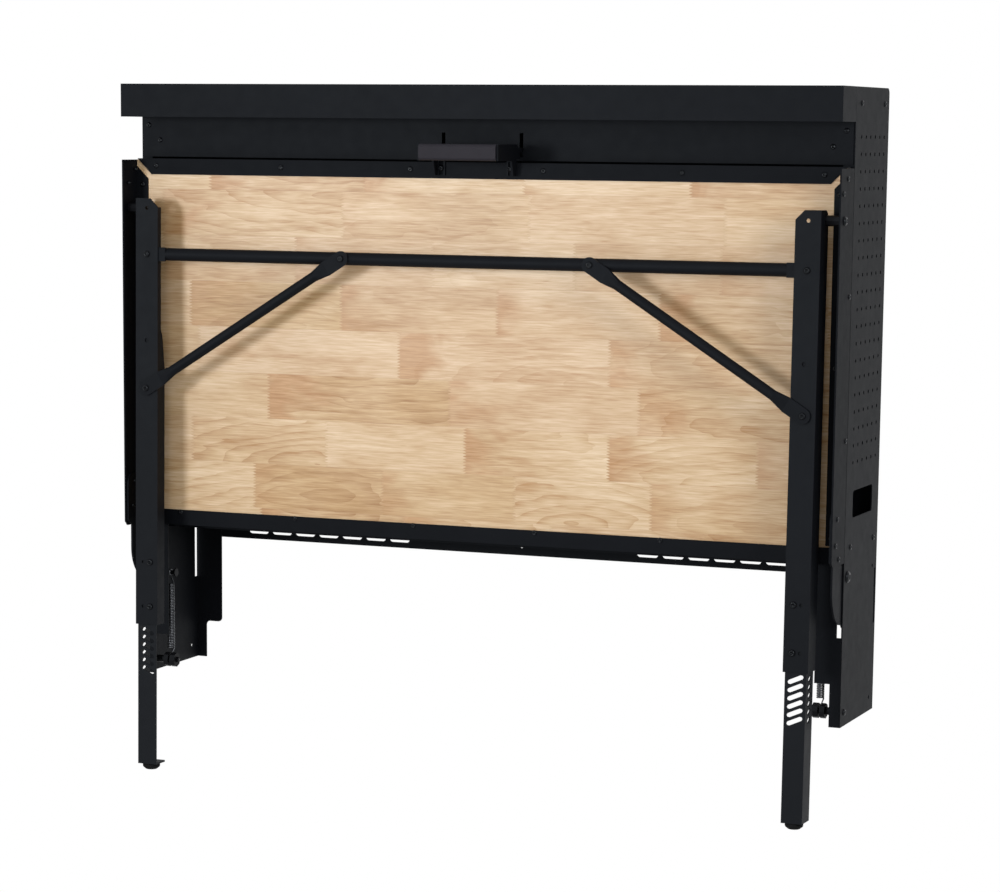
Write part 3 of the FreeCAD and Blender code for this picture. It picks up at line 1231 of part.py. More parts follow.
def build():
    """Build every piece and write it."""
    os.makedirs("parts", exist_ok=True)
    inward = ALONG_X * -1

    save_pair("side_panel", side_panel())
    save("top_panel", top_panel())
    save("header_panel", header_panel())
    save("bottom_shelf", bottom_shelf())
    save("back_panel", back_panel())
    save("cabinet_screws", [s for place in cabinet_screw_places() for s in both(small_screw(*place))])

    nut_x = PLATE_IN - BUSH_FLANGE - PLATE_GAP - HINGE_NUT
    hinge_bolt = bolt(HALF, HINGE_Y, HINGE_HEIGHT, inward, HINGE_HEAD_R, HINGE_HEAD, HINGE_BOLT_R, HALF - nut_x, turned)
    save("hinge_bolts", both(hinge_bolt))
    nut = polygon_rod(nut_x, HINGE_Y, HINGE_HEIGHT, ALONG_X, HINGE_NUT, HINGE_NUT_R, SCREW_SIDES)
    save("hinge_nuts", both(nut.cut(turned(nut_x, HINGE_Y, HINGE_HEIGHT, ALONG_X, HINGE_NUT, HINGE_BOLT_R + SEAT_FIT))))
    bush_in = HINGE_BOLT_R + RUNNING_FIT
    bush = joined(
        [
            turned(PLATE_IN, HINGE_Y, HINGE_HEIGHT, ALONG_X, PLATE, bush_in + BUSH_WALL),
            rod(PLATE_IN - BUSH_FLANGE, HINGE_Y, HINGE_HEIGHT, ALONG_X, BUSH_FLANGE, BUSH_FLANGE_R),
        ]
    )
    bush_bore = turned(PLATE_IN - BUSH_FLANGE, HINGE_Y, HINGE_HEIGHT, ALONG_X, BUSH_FLANGE + PLATE, bush_in)
    save("hinge_bushes", both(bush.cut(bush_bore)))
    save_pair("hinge_plate", hinge_plate())

    stud_end = SPRING_X - SPRING_STUD_TAIL
    stud = joined(
        [
            rod(stud_end, HINGE_Y, STUD_HEIGHT, ALONG_X, PLATE_OUT - stud_end, SPRING_STUD_R),
            rod(stud_end - SPRING_STUD_HEAD, HINGE_Y, STUD_HEIGHT, ALONG_X, SPRING_STUD_HEAD, SPRING_STUD_HEAD_R),
        ]
    )
    save("spring_studs", both(stud))
    save("springs", both(spring()))
    save("spring_spools", both(spring_spool()))
    spool_in = SPRING_X - SPOOL_GROOVE / 2 - SPOOL_IN
    spool_out = SPRING_X + SPOOL_GROOVE / 2 + SPOOL_OUT
    anchor_length = HALF - spool_in + ANCHOR_NUT
    anchor = bolt(HALF, HINGE_Y, ANCHOR_HEIGHT, inward, ANCHOR_HEAD_R, ANCHOR_HEAD, ANCHOR_BOLT_R, anchor_length)
    save("anchor_bolts", both(anchor))
    anchor_nut = polygon_rod(spool_in - ANCHOR_NUT, HINGE_Y, ANCHOR_HEIGHT, ALONG_X, ANCHOR_NUT, ANCHOR_NUT_R, SCREW_SIDES)
    anchor_bore = rod(spool_in - ANCHOR_NUT, HINGE_Y, ANCHOR_HEIGHT, ALONG_X, ANCHOR_NUT, ANCHOR_BOLT_R + SEAT_FIT)
    save("anchor_nuts", both(anchor_nut.cut(anchor_bore)))
    spacer = ring(spool_out, HINGE_Y, ANCHOR_HEIGHT, ALONG_X, PANEL_IN - spool_out, SPACER_R, ANCHOR_BOLT_R + SEAT_FIT)
    save("anchor_spacers", both(spacer))

    save("bench_top", bench_top())
    save("front_rail", front_rail())
    save("rear_rail", rear_rail())
    save_pair("side_rail", side_rail())
    rail_places = bench_screw_places() + plate_bolt_places() + corner_bolt_places()
    save("rail_screws", [s for place in rail_places for s in both(small_screw(*place))])

    spacer_in = LEG_OUT + LEG_SIDE_GAP
    leg_spacer = ring(
        spacer_in, PIVOT_Y, PIVOT_HEIGHT, ALONG_X, RAIL_IN - spacer_in, PIVOT_SPACER_R, PIVOT_BOLT_R + SEAT_FIT, turned
    )
    save("pivot_spacers", both(leg_spacer))
    pivot_nut_x = LEG_OUT - LEG_SHEET - LEG_SIDE_GAP - PIVOT_NUT
    pivot_bolt = bolt(HALF, PIVOT_Y, PIVOT_HEIGHT, inward, PIVOT_HEAD_R, PIVOT_HEAD, PIVOT_BOLT_R, HALF - pivot_nut_x, turned)
    save("leg_pivot_bolts", both(pivot_bolt))
    pivot_nut = polygon_rod(pivot_nut_x, PIVOT_Y, PIVOT_HEIGHT, ALONG_X, PIVOT_NUT, PIVOT_HEAD_R, SCREW_SIDES)
    pivot_bore = turned(pivot_nut_x, PIVOT_Y, PIVOT_HEIGHT, ALONG_X, PIVOT_NUT, PIVOT_BOLT_R + SEAT_FIT)
    save("leg_pivot_nuts", both(pivot_nut.cut(pivot_bore)))

    guide_head = RAIL_FACE - 2 * TAB_GAP - TAB
    guide = bolt(GRIP_SCREW_X, guide_head, GUIDE_HEIGHT, ALONG_Y, GUIDE_HEAD_R, GUIDE_HEAD, GUIDE_BOLT_R, GUIDE_DEPTH)
    save("latch_guide_bolts", both(guide))
    save_pair("latch_arm", latch_arm())
    save("handle_grip", handle_grip())
    grip_screw = bolt(
        GRIP_SCREW_X,
        GRIP_BACK + TAB,
        GRIP_MIDDLE,
        ALONG_Y * -1,
        GRIP_SCREW_HEAD_R,
        GRIP_SCREW_HEAD,
        GRIP_SCREW_R,
        GRIP_SCREW / 2,
    )
    save("grip_screws", both(grip_screw))

    save_pair("leg", leaned(leg()))
    save("cross_tube", leaned(cross_tube()))
    save_pair("brace", leaned(brace()))
    frame_bolts = []
    for x, seat, height, reach in (
        (LEG_MIDDLE, LEG_FRONT, CROSS_HEIGHT, LEG_SHEET + CROSS_FLAT),
        (LEG_MIDDLE, LEG_FRONT - BRACE_FLAT, BRACE_HEIGHT, LEG_SHEET + BRACE_FLAT),
        (BRACE_SPREAD, LEG_BACK - BRACE_FLAT, CROSS_HEIGHT, BRACE_FLAT + CROSS_WALL),
    ):
        shank = reach + FRAME_NUT
        frame_bolts += both(bolt(x, seat, height, ALONG_Y, FRAME_HEAD_R, FRAME_HEAD, FRAME_BOLT_R, shank))
    save("frame_bolts", [leaned(b) for b in frame_bolts])
    frame_nuts = []
    for height, reach in ((CROSS_HEIGHT, CROSS_FLAT), (BRACE_HEIGHT, 0)):
        seat = LEG_BACK + reach
        nut = polygon_rod(LEG_MIDDLE, seat, height, ALONG_Y, FRAME_NUT, FRAME_NUT_R, SCREW_SIDES)
        frame_nuts += both(nut.cut(rod(LEG_MIDDLE, seat, height, ALONG_Y, FRAME_NUT, FRAME_BOLT_R + SEAT_FIT)))
    save("frame_nuts", [leaned(n) for n in frame_nuts])
    clamp_bolts = []
    clamp_nuts = []
    for fall in (CLAMP_FALL_HIGH, CLAMP_FALL_LOW):
        x = LEG_MIDDLE - CLAMP_SIDE
        height = PIVOT_HEIGHT - fall
        seat = EXT_BACK + EXT_GAP
        shank = seat - LEG_FRONT + FRAME_NUT
        clamp_bolts += both(bolt(x, LEG_FRONT, height, ALONG_Y, CLAMP_HEAD_R, CLAMP_HEAD, CLAMP_BOLT_R, shank))
        nut = polygon_rod(x, seat, height, ALONG_Y, FRAME_NUT, FRAME_NUT_R, SCREW_SIDES)
        clamp_nuts += both(nut.cut(rod(x, seat, height, ALONG_Y, FRAME_NUT, CLAMP_BOLT_R + SEAT_FIT)))
    save("leg_clamp_bolts", [leaned(b) for b in clamp_bolts])
    save("leg_clamp_nuts", [leaned(n) for n in clamp_nuts])

    save_pair("leg_extension", leaned(extension()))
    save_pair("foot", leaned(foot()))
    save_pair("foot_nut", leaned(foot_nut()))


build()
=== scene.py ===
# %% [markdown]
# # A wall cabinet whose front folds down into a workbench
#
# The solids of the cabinet, bench, legs and latch come ready made as a fixed frame. This lesson dresses
# them: it sets the camera, writes the finishes as shader nodes, and replaces the pieces that need more
# form than a plain solid has, which are the springs, the screw heads and the feet.

# %% Load the frame
import json
import math

import bmesh
import bpy
from mathutils import Matrix, Vector


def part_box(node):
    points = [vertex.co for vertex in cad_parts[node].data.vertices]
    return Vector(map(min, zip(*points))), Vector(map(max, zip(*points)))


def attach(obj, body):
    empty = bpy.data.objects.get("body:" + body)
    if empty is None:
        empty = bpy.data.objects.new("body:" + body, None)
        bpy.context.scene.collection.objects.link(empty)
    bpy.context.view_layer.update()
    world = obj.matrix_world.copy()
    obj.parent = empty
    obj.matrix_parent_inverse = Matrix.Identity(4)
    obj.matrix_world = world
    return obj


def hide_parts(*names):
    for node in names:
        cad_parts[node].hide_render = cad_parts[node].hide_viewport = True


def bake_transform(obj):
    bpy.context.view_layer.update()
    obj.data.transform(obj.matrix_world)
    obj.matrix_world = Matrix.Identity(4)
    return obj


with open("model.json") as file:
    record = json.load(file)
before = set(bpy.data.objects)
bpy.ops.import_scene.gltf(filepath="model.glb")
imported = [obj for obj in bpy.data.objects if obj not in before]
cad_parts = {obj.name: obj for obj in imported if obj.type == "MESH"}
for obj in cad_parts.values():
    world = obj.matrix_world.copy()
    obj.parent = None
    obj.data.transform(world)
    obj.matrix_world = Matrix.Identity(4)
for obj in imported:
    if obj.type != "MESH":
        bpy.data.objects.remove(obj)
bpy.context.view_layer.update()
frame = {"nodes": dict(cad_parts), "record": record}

# %% [markdown]
# ## Where things are
#
# Heights on the real object are easiest to read above the foot of its side panels. The frame has its
# origin on the wall face, so one helper shifts every height.

# %% Heights
ORIGIN_HEIGHT = 0.245


def up(height):
    """Height above the foot of the side panels, as a Z of the frame."""
    return height - ORIGIN_HEIGHT


print("foot of the side panels at", up(0))

# %% [markdown]
# ## The camera
#
# The photograph was taken from the right and slightly above, with a long lens. A Track To constraint could
# aim the camera, but it would hold the picture level. The matrix is built from the camera's three axes
# instead, because that keeps the small roll of the picture, and the shift of the lens keeps its framing.

# %% Camera
IMAGE_WIDTH = 1000
SENSOR_WIDTH = 36
FOCAL_PIXELS = 3162.18
SHIFT_X = 0.02842
SHIFT_Y = 0.17383
AZIMUTH = math.radians(22.222)
ELEVATION = math.radians(8.756)
ROLL = math.radians(0.504)
CAMERA_PLACE = Vector((1.84835, -4.73776, up(0.88289)))

forward = Vector((
    -math.sin(AZIMUTH) * math.cos(ELEVATION),
    math.cos(AZIMUTH) * math.cos(ELEVATION),
    -math.sin(ELEVATION),
))
level = Vector((math.cos(AZIMUTH), math.sin(AZIMUTH), 0))
upright = level.cross(forward)
camera_x = level * math.cos(ROLL) + upright * math.sin(ROLL)
camera_y = upright * math.cos(ROLL) - level * math.sin(ROLL)
camera_turn = Matrix((camera_x, camera_y, -forward)).transposed().to_4x4()
camera_data = bpy.data.cameras.new("photo_camera")
camera_data.sensor_width = SENSOR_WIDTH
camera_data.lens = FOCAL_PIXELS * SENSOR_WIDTH / IMAGE_WIDTH
camera_data.shift_x = SHIFT_X
camera_data.shift_y = SHIFT_Y
camera = bpy.data.objects.new("photo_camera", camera_data)
camera.matrix_world = Matrix.Translation(CAMERA_PLACE) @ camera_turn
bpy.context.collection.objects.link(camera)
bpy.context.scene.camera = camera
print("lens", round(camera_data.lens, 2))

# %% [markdown]
# ## Light, floor and background
#
# A product picture on white has one broad lamp for the shadows and a weaker one from the other side. More
# light would also turn the background white, but it would wash out the black coat. So the world and the
# floor look white to the camera and to reflections, and only fill the shadows for all other rays.

# %% Node helpers for the background


def feed(tree, value, socket):
    """Give a socket a number, or a link from another socket."""
    if isinstance(value, (int, float)):
        socket.default_value = value
    else:
        tree.links.new(value, socket)


def sums(tree, operation, first, second):
    """Math node on two values, each a socket or a number."""
    node = tree.nodes.new("ShaderNodeMath")
    node.operation = operation
    feed(tree, first, node.inputs[0])
    feed(tree, second, node.inputs[1])
    return node.outputs["Value"]


def by_ray(tree, lit, seen, output):
    """Show one shader to the camera and to reflections, and another to all other rays."""
    path = tree.nodes.new("ShaderNodeLightPath")
    share = path.outputs["Is Camera Ray"]
    for ray in ("Is Glossy Ray", "Is Transmission Ray"):
        share = sums(tree, "MAXIMUM", share, path.outputs[ray])
    either = tree.nodes.new("ShaderNodeMixShader")
    tree.links.new(share, either.inputs["Fac"])
    tree.links.new(lit.outputs[0], either.inputs[1])
    tree.links.new(seen.outputs[0], either.inputs[2])
    tree.links.new(either.outputs[0], output.inputs["Surface"])


# %% World
WHITE = (1, 1, 1, 1)
WHITE_STRENGTH = 1
FILL_STRENGTH = 0.24

scene = bpy.context.scene
scene.view_settings.view_transform = "Standard"
world = bpy.data.worlds.new("studio")
scene.world = world
world.use_nodes = True
tree = world.node_tree
tree.nodes.clear()
fill = tree.nodes.new("ShaderNodeBackground")
fill.inputs["Color"].default_value = WHITE
fill.inputs["Strength"].default_value = FILL_STRENGTH
white = tree.nodes.new("ShaderNodeBackground")
white.inputs["Color"].default_value = WHITE
white.inputs["Strength"].default_value = WHITE_STRENGTH
by_ray(tree, fill, white, tree.nodes.new("ShaderNodeOutputWorld"))
print("world nodes", len(tree.nodes))

# %% Lamps, each with its place, size and power
BENCH_MIDDLE = Vector((0, -0.2, up(0.55)))
LAMPS = {
    "key_left": ((-1.75, -3.6, up(0.95)), 0.70, 60),
    "side_right": ((2.9, -1.9, up(1.3)), 1.1, 38),
    "above": ((0.2, -1.6, up(2.9)), 1.2, 14),
    "front_soft": ((-0.05, -1.35, up(0.66)), 0.8, 3.5),
}

for name, (spot, size, power) in LAMPS.items():
    data = bpy.data.lights.new(name, "AREA")
    data.size = size
    data.energy = power
    item = bpy.data.objects.new(name, data)
    aim = (BENCH_MIDDLE - Vector(spot)).to_track_quat("-Z", "Y")
    item.matrix_world = Matrix.Translation(spot) @ aim.to_matrix().to_4x4()
    bpy.context.collection.objects.link(item)
print("lamps", len(bpy.data.lights))

# %% Floor
FLOOR_HALF = 9
FLOOR_HEIGHT = up(-0.79)
FLOOR_SIGNS = ((-1, -1), (1, -1), (1, 1), (-1, 1))
FLOOR_GREY = (0.8, 0.8, 0.8, 1)


def plain(name, points, edges=(), faces=()):
    """Object of a mesh from points."""
    mesh = bpy.data.meshes.new(name)
    mesh.from_pydata(points, list(edges), list(faces))
    item = bpy.data.objects.new(name, mesh)
    bpy.context.collection.objects.link(item)
    return item


floor_corners = [(x * FLOOR_HALF, y * FLOOR_HALF, FLOOR_HEIGHT) for x, y in FLOOR_SIGNS]
floor = plain("floor", floor_corners, faces=[(0, 1, 2, 3)])
floor_look = bpy.data.materials.new("pale_floor")
floor_look.use_nodes = True
tree = floor_look.node_tree
tree.nodes.clear()
paint = tree.nodes.new("ShaderNodeBsdfDiffuse")
paint.inputs["Color"].default_value = FLOOR_GREY
glow = tree.nodes.new("ShaderNodeEmission")
glow.inputs["Strength"].default_value = WHITE_STRENGTH
by_ray(tree, paint, glow, tree.nodes.new("ShaderNodeOutputMaterial"))
floor.data.materials.append(floor_look)
print("floor at", FLOOR_HEIGHT)

# %% [markdown]
# ## Shader helpers
#
# Every finish starts from a Principled shader and reads Object coordinates, so a pattern has its real
# size in metres on each piece and stays put when the bench moves.

# %% Shader helpers


def finish(name):
    """New material: its tree, its Principled node and the Object coordinates."""
    look = bpy.data.materials.new(name)
    look.use_nodes = True
    nodes = look.node_tree.nodes
    shader = nodes["Principled BSDF"]
    place = nodes.new("ShaderNodeTexCoord").outputs["Object"]
    return look, look.node_tree, shader, place


def noise(tree, place, scale, detail=2.0, distortion=0.0):
    """Noise in Object coordinates."""
    node = tree.nodes.new("ShaderNodeTexNoise")
    node.inputs["Scale"].default_value = scale
    node.inputs["Detail"].default_value = detail
    node.inputs["Distortion"].default_value = distortion
    tree.links.new(place, node.inputs["Vector"])
    return node.outputs["Fac"]


def ramp(tree, value, stops):
    """Colours along a value, as (position, colour) stops."""
    node = tree.nodes.new("ShaderNodeValToRGB")
    elements = node.color_ramp.elements
    while len(elements) < len(stops):
        elements.new(0.5)
    for element, (position, colour) in zip(elements, stops):
        element.position = position
        element.color = (*colour, 1)
    tree.links.new(value, node.inputs["Fac"])
    return node.outputs["Color"]


def spread(tree, value, low, high):
    """Map a value from 0..1 to a span."""
    node = tree.nodes.new("ShaderNodeMapRange")
    node.inputs["To Min"].default_value = low
    node.inputs["To Max"].default_value = high
    tree.links.new(value, node.inputs["Value"])
    return node.outputs["Result"]


def bump(tree, shader, value, strength, depth):
    """Fine relief on a shader."""
    node = tree.nodes.new("ShaderNodeBump")
    node.inputs["Strength"].default_value = strength
    node.inputs["Distance"].default_value = depth
    tree.links.new(value, node.inputs["Height"])
    tree.links.new(node.outputs["Normal"], shader.inputs["Normal"])


# %% [markdown]
# ## Black powder coat
#
# The sheet steel is sprayed with a dry powder and baked. That leaves a satin black with a faint blue and a
# fine orange peel. A plain colour would look flat, so three noises are used: one for slow changes of
# colour, one for changes of shine and one for the peel. Rails, legs and extensions catch the light a
# little differently in the photograph, so each has a coat with its own shine.

# %% Powder coat
COLOUR_SCALE = 5.0
COLOUR_DETAIL = 3.0
DARKER = 0.86
PALER = 1.16
SHINE_SCALE = 60.0
SHINE_DETAIL = 4.0
ROUGH_SPAN = 0.06
PEEL_SCALE = 1400.0
PEEL_DEPTH = 0.0004
PLAIN_SHINE = 0.085
BLUE_TINT = (0.84, 0.93, 1.0)


def coated(name, colour, rough, peel, shine=PLAIN_SHINE, tint=BLUE_TINT):
    """Satin coat with a fine orange peel."""
    look, tree, shader, place = finish(name)
    shader.inputs["Specular IOR Level"].default_value = shine
    shader.inputs["Specular Tint"].default_value = (*tint, 1)
    dark = [c * DARKER for c in colour]
    pale = [c * PALER for c in colour]
    slow = noise(tree, place, COLOUR_SCALE, COLOUR_DETAIL)
    tree.links.new(ramp(tree, slow, [(0.3, dark), (0.7, pale)]), shader.inputs["Base Color"])
    patches = noise(tree, place, SHINE_SCALE, SHINE_DETAIL)
    roughness = spread(tree, patches, rough - ROUGH_SPAN, rough + ROUGH_SPAN)
    tree.links.new(roughness, shader.inputs["Roughness"])
    bump(tree, shader, noise(tree, place, PEEL_SCALE), peel, PEEL_DEPTH)
    return look


COAT = {"colour": (0.0036, 0.0040, 0.0054), "rough": 0.58, "peel": 0.12}
steel_coat = coated("satin_black_coat", **COAT)
rail_coat = coated("rail_black_coat", **COAT, shine=0.062)
leg_coat = coated("leg_black_coat", **COAT, shine=0.104)
foot_coat = coated("extension_black_coat", **COAT, shine=0.132)
print("coats", len(bpy.data.materials))

# %% Fasteners, plastic and rubber
GRIP_TINT = (1, 0.97, 1)

screw_coat = coated("black_oxide", (0.002, 0.002, 0.003), rough=0.18, peel=0.05, shine=0.18)
spool_plastic = coated("black_nylon", (0.004, 0.004, 0.005), rough=0.46, peel=0.10)
foot_rubber = coated("black_rubber", (0.007, 0.007, 0.007), rough=0.74, peel=0.30)
grip_plastic = coated("moulded_grip", (0.0165, 0.0155, 0.020), 0.60, 0.35, shine=0.12, tint=GRIP_TINT)
print("dark finishes", len(bpy.data.materials))

# %% [markdown]
# ## Bare metal
#
# The springs are zinc plated wire, and the hinge bushes, which stay hidden, are taken to be bronze. Both
# are metallic shaders whose colour changes with a fine noise, because an even metal looks like a mirror.
# The zinc colours are kept far darker than bright plating: that is painted shade, for springs in shadow.

# %% Zinc and bronze
ZINC_GRAIN = 220.0
ZINC_DETAIL = 3.0
# Far darker than bright zinc plate: painted shade on the springs.
ZINC_COLOURS_WITH_PAINTED_SHADE = [(0.3, (0.055, 0.058, 0.065)), (0.7, (0.14, 0.145, 0.155))]
ZINC_SPANGLE = 400.0
ZINC_ROUGH = (0.24, 0.42)
BRONZE_GRAIN = 900.0
BRONZE_DETAIL = 2.0
BRONZE_COLOURS = [(0.35, (0.30, 0.20, 0.09)), (0.65, (0.46, 0.32, 0.15))]
BRONZE_ROUGH = 0.45


def metal(name, grain, detail, colours):
    """Bare metal whose colour changes with a fine grain."""
    look, tree, shader, place = finish(name)
    shader.inputs["Metallic"].default_value = 1.0
    tree.links.new(ramp(tree, noise(tree, place, grain, detail), colours), shader.inputs["Base Color"])
    return look, tree, shader, place


# The zinc finish carries painted shade: its colours are darker than bright plating.
zinc, tree, shader, place = metal("zinc_plate_with_painted_shade", ZINC_GRAIN, ZINC_DETAIL, ZINC_COLOURS_WITH_PAINTED_SHADE)
zinc_rough = spread(tree, noise(tree, place, ZINC_SPANGLE), *ZINC_ROUGH)
tree.links.new(zinc_rough, shader.inputs["Roughness"])
bush_metal, tree, shader, place = metal("sintered_bronze", BRONZE_GRAIN, BRONZE_DETAIL, BRONZE_COLOURS)
shader.inputs["Roughness"].default_value = BRONZE_ROUGH
print("finishes", len(bpy.data.materials))

# %% [markdown]
# ## Finger-jointed wood
#
# The bench top is glued from rows of short blocks whose ends interlock like combs. A picture of wood would
# repeat and blur, so the shader does what the joiner does: it counts rows along the height, shifts each
# row, cuts it into blocks along a zigzag line, and gives each block its own tone and piece of grain.

# %% Wood: rows and blocks
STAVE = 0.072
STAVE_OFFSET = 0.031
FINGER = 0.0046
FINGER_REACH = 0.0065
SHORT_BLOCK = 0.22
BLOCK_SPAN = 0.16
ROW_SPAN = 0.5
LENGTH_SEEDS = (3.0, 7.0)
SHIFT_SEEDS = (11.0, 2.0)

wood, wood_tree, wood_shader, wood_place = finish("rubberwood")


def calc(operation, first, second=0):
    """Math node of the wood."""
    return sums(wood_tree, operation, first, second)


def chance(*values):
    """Repeatable random value from three whole numbers."""
    node = wood_tree.nodes.new("ShaderNodeTexWhiteNoise")
    node.noise_dimensions = "3D"
    mix = wood_tree.nodes.new("ShaderNodeCombineXYZ")
    for socket, value in zip(mix.inputs, values):
        feed(wood_tree, value, socket)
    wood_tree.links.new(mix.outputs[0], node.inputs["Vector"])
    return node.outputs["Value"]


axes = wood_tree.nodes.new("ShaderNodeSeparateXYZ")
wood_tree.links.new(wood_place, axes.inputs[0])
along = axes.outputs["X"]
across = axes.outputs["Z"]
row_place = calc("DIVIDE", calc("ADD", across, STAVE_OFFSET), STAVE)
row = calc("FLOOR", row_place)
row_share = calc("FRACT", row_place)
teeth = calc("PINGPONG", calc("DIVIDE", across, FINGER), 0.5)
comb = calc("ADD", along, calc("MULTIPLY", teeth, FINGER_REACH * 2))
block_length = calc("ADD", SHORT_BLOCK, calc("MULTIPLY", chance(row, *LENGTH_SEEDS), BLOCK_SPAN))
row_shift = calc("MULTIPLY", chance(row, *SHIFT_SEEDS), ROW_SPAN)
block_place = calc("DIVIDE", calc("ADD", comb, row_shift), block_length)
block = calc("FLOOR", block_place)
block_share = calc("FRACT", block_place)
print("wood nodes for the blocks", len(wood_tree.nodes))

# %% [markdown]
# Grain is noise that is stretched along the board and squeezed across it. Each layer below has its stretch,
# squeeze, detail and distortion, and every block looks at its own place in the noise.

# %% Wood: layers of grain
BLOCK_SEED = {
    "tone": 1.0,
    "grain": 5.0,
    "pink": 9.0,
    "rings": 13.0,
    "stain": 21.0,
    "heart_along": 31.0,
    "heart_across": 37.0,
}
GRAIN_JUMP = 40.0
FIBRE_LAYER = (30.0, 520.0, 4.0, 0.3)
STREAK_LAYER = (6.0, 210.0, 4.0, 0.3)
CLOUD_LAYER = (6.0, 26.0, 3.0, 0.6)
WANDER_LAYER = (5.0, 16.0, 3.0, 0.4)
BLOTCH_LAYER = (12.0, 22.0, 2.5, 0.8)
DRIFT_LAYER = (4.0, 9.0, 3.0, 0.5)


def per_block(use):
    """Random value of each block for one use."""
    return chance(row, block, BLOCK_SEED[use])


def between(value, span):
    """Map a value of the wood from 0..1 to a span."""
    return spread(wood_tree, value, *span)


def grain(layer, shift):
    """Noise stretched along the grain, with its place moved by a shift."""
    stretch, squeeze, detail, distortion = layer
    mix = wood_tree.nodes.new("ShaderNodeCombineXYZ")
    feed(wood_tree, calc("MULTIPLY", along, stretch), mix.inputs["X"])
    feed(wood_tree, calc("ADD", calc("MULTIPLY", across, squeeze), shift), mix.inputs["Y"])
    feed(wood_tree, shift, mix.inputs["Z"])
    return noise(wood_tree, mix.outputs[0], 1.0, detail, distortion)


grain_shift = calc("MULTIPLY", per_block("grain"), GRAIN_JUMP)
fibre = grain(FIBRE_LAYER, grain_shift)
streak = grain(STREAK_LAYER, grain_shift)
cloud = grain(CLOUD_LAYER, grain_shift)
wander = grain(WANDER_LAYER, grain_shift)
blotch = grain(BLOTCH_LAYER, grain_shift)
drift = grain(DRIFT_LAYER, 0.0)
print("wood nodes with the grain", len(wood_tree.nodes))

# %% [markdown]
# Growth rings show as ovals round the heart of the tree. Each block gets a heart somewhere in or beside it.
# The distance from there, bent by a slow noise, is cut into rings that are dark at their outer edge.

# %% Wood: growth rings
RING_STRETCH = 0.75
HEART_ALONG = (-0.45, 0.45)
HEART_ACROSS = (-0.25, 1.25)
RING_WANDER = 0.75
RING_COUNT = 5.4
RING_EDGE = 2.6
RING_SHARE = (-0.25, 0.55)


def squared(value):
    """Square of a value of either sign."""
    return calc("POWER", calc("ABSOLUTE", value), 2.0)


centre = calc("SUBTRACT", calc("MULTIPLY", calc("ADD", block, 0.5), block_length), row_shift)
from_centre = calc("DIVIDE", calc("SUBTRACT", along, centre), block_length)
heart_along = between(per_block("heart_along"), HEART_ALONG)
side_step = calc("SUBTRACT", calc("MULTIPLY", from_centre, RING_STRETCH), heart_along)
rise_step = calc("SUBTRACT", row_share, between(per_block("heart_across"), HEART_ACROSS))
oval = calc("SQRT", calc("ADD", squared(side_step), squared(rise_step)))
figure = calc("ADD", oval, calc("MULTIPLY", wander, RING_WANDER))
rings = calc("FRACT", calc("MULTIPLY", figure, RING_COUNT))
thin = calc("POWER", rings, RING_EDGE)
figured = calc("MULTIPLY", thin, between(per_block("rings"), RING_SHARE))
dark_lines = calc("MAXIMUM", figured, 0.0)
print("wood nodes with the rings", len(wood_tree.nodes))

# %% [markdown]
# The layers add up to one value, from dark late wood to pale early wood. Three ramps turn it into colours,
# and each block is a mix of pale, warm and pink, so that no two blocks look the same.

# %% Wood: colour of the blocks
STREAK_PART = 0.18
FIBRE_PART = 0.40
CLOUD_PART = 0.43
RING_PART = 0.25
GRAIN_STOPS = (0.30, 0.50, 0.66)
PALE_COLOURS = ((0.39, 0.210, 0.075), (0.570, 0.404, 0.234), (0.705, 0.548, 0.370))
WARM_COLOURS = ((0.27, 0.125, 0.033), (0.432, 0.262, 0.103), (0.572, 0.392, 0.200))
PINK_COLOURS = ((0.35, 0.172, 0.070), (0.518, 0.344, 0.208), (0.655, 0.488, 0.336))
TONE_SPAN = (-0.20, 0.75)
DRIFT_SPAN = (-1.1, 1.1)
PINK_PART = 0.42


def block_colours(colours):
    """Colours of one kind of block along the grain."""
    return ramp(wood_tree, lines, list(zip(GRAIN_STOPS, colours)))


def blend_colours(factor, first, second):
    """Mix of two colours of the wood."""
    node = wood_tree.nodes.new("ShaderNodeMix")
    node.data_type = "RGBA"
    wood_tree.links.new(factor, node.inputs["Factor"])
    wood_tree.links.new(first, node.inputs["A"])
    wood_tree.links.new(second, node.inputs["B"])
    return node.outputs["Result"]


soft_grain = calc("ADD", calc("MULTIPLY", streak, STREAK_PART), calc("MULTIPLY", fibre, FIBRE_PART))
soft_grain = calc("ADD", soft_grain, calc("MULTIPLY", cloud, CLOUD_PART))
lines = calc("SUBTRACT", soft_grain, calc("MULTIPLY", dark_lines, RING_PART))
warm_share = calc("ADD", between(per_block("tone"), TONE_SPAN), between(drift, DRIFT_SPAN))
warm_share = calc("MINIMUM", calc("MAXIMUM", warm_share, 0.0), 1.0)
toned = blend_colours(warm_share, block_colours(PALE_COLOURS), block_colours(WARM_COLOURS))
pink_share = calc("MULTIPLY", per_block("pink"), PINK_PART)
toned = blend_colours(pink_share, toned, block_colours(PINK_COLOURS))
print("wood nodes with the colours", len(wood_tree.nodes))

# %% [markdown]
# Some blocks are smoky at one end, and a few small knots are scattered over the board. Last come the glue
# lines, which are a little darker and lie a little lower than the wood.

# %% Wood: stains, knots and glue lines
STAIN_START = 0.65
STAIN_FALL = 2.4
BLOTCH_PART = 2.4
STAIN_SPAN = (-0.5, 1.5)
STAIN_MOST = 0.72
SMOKE_COLOURS = [(0.3, (0.33, 0.150, 0.048)), (0.7, (0.47, 0.255, 0.105))]
KNOT_SCALE = 6.5
KNOT_SIZE = 0.017
KNOT_PART = 0.6
END_JOINT = 0.0011
ROW_JOINT = 0.0007
SEAM_COLOURS = [(0.3, (0.36, 0.215, 0.110)), (0.7, (0.45, 0.290, 0.165))]
SEAM_PART = 0.40
SEAM_DEPTH = 0.6
WOOD_ROUGH = (0.48, 0.36)
WOOD_BUMP = 0.12
WOOD_DEPTH = 0.0004

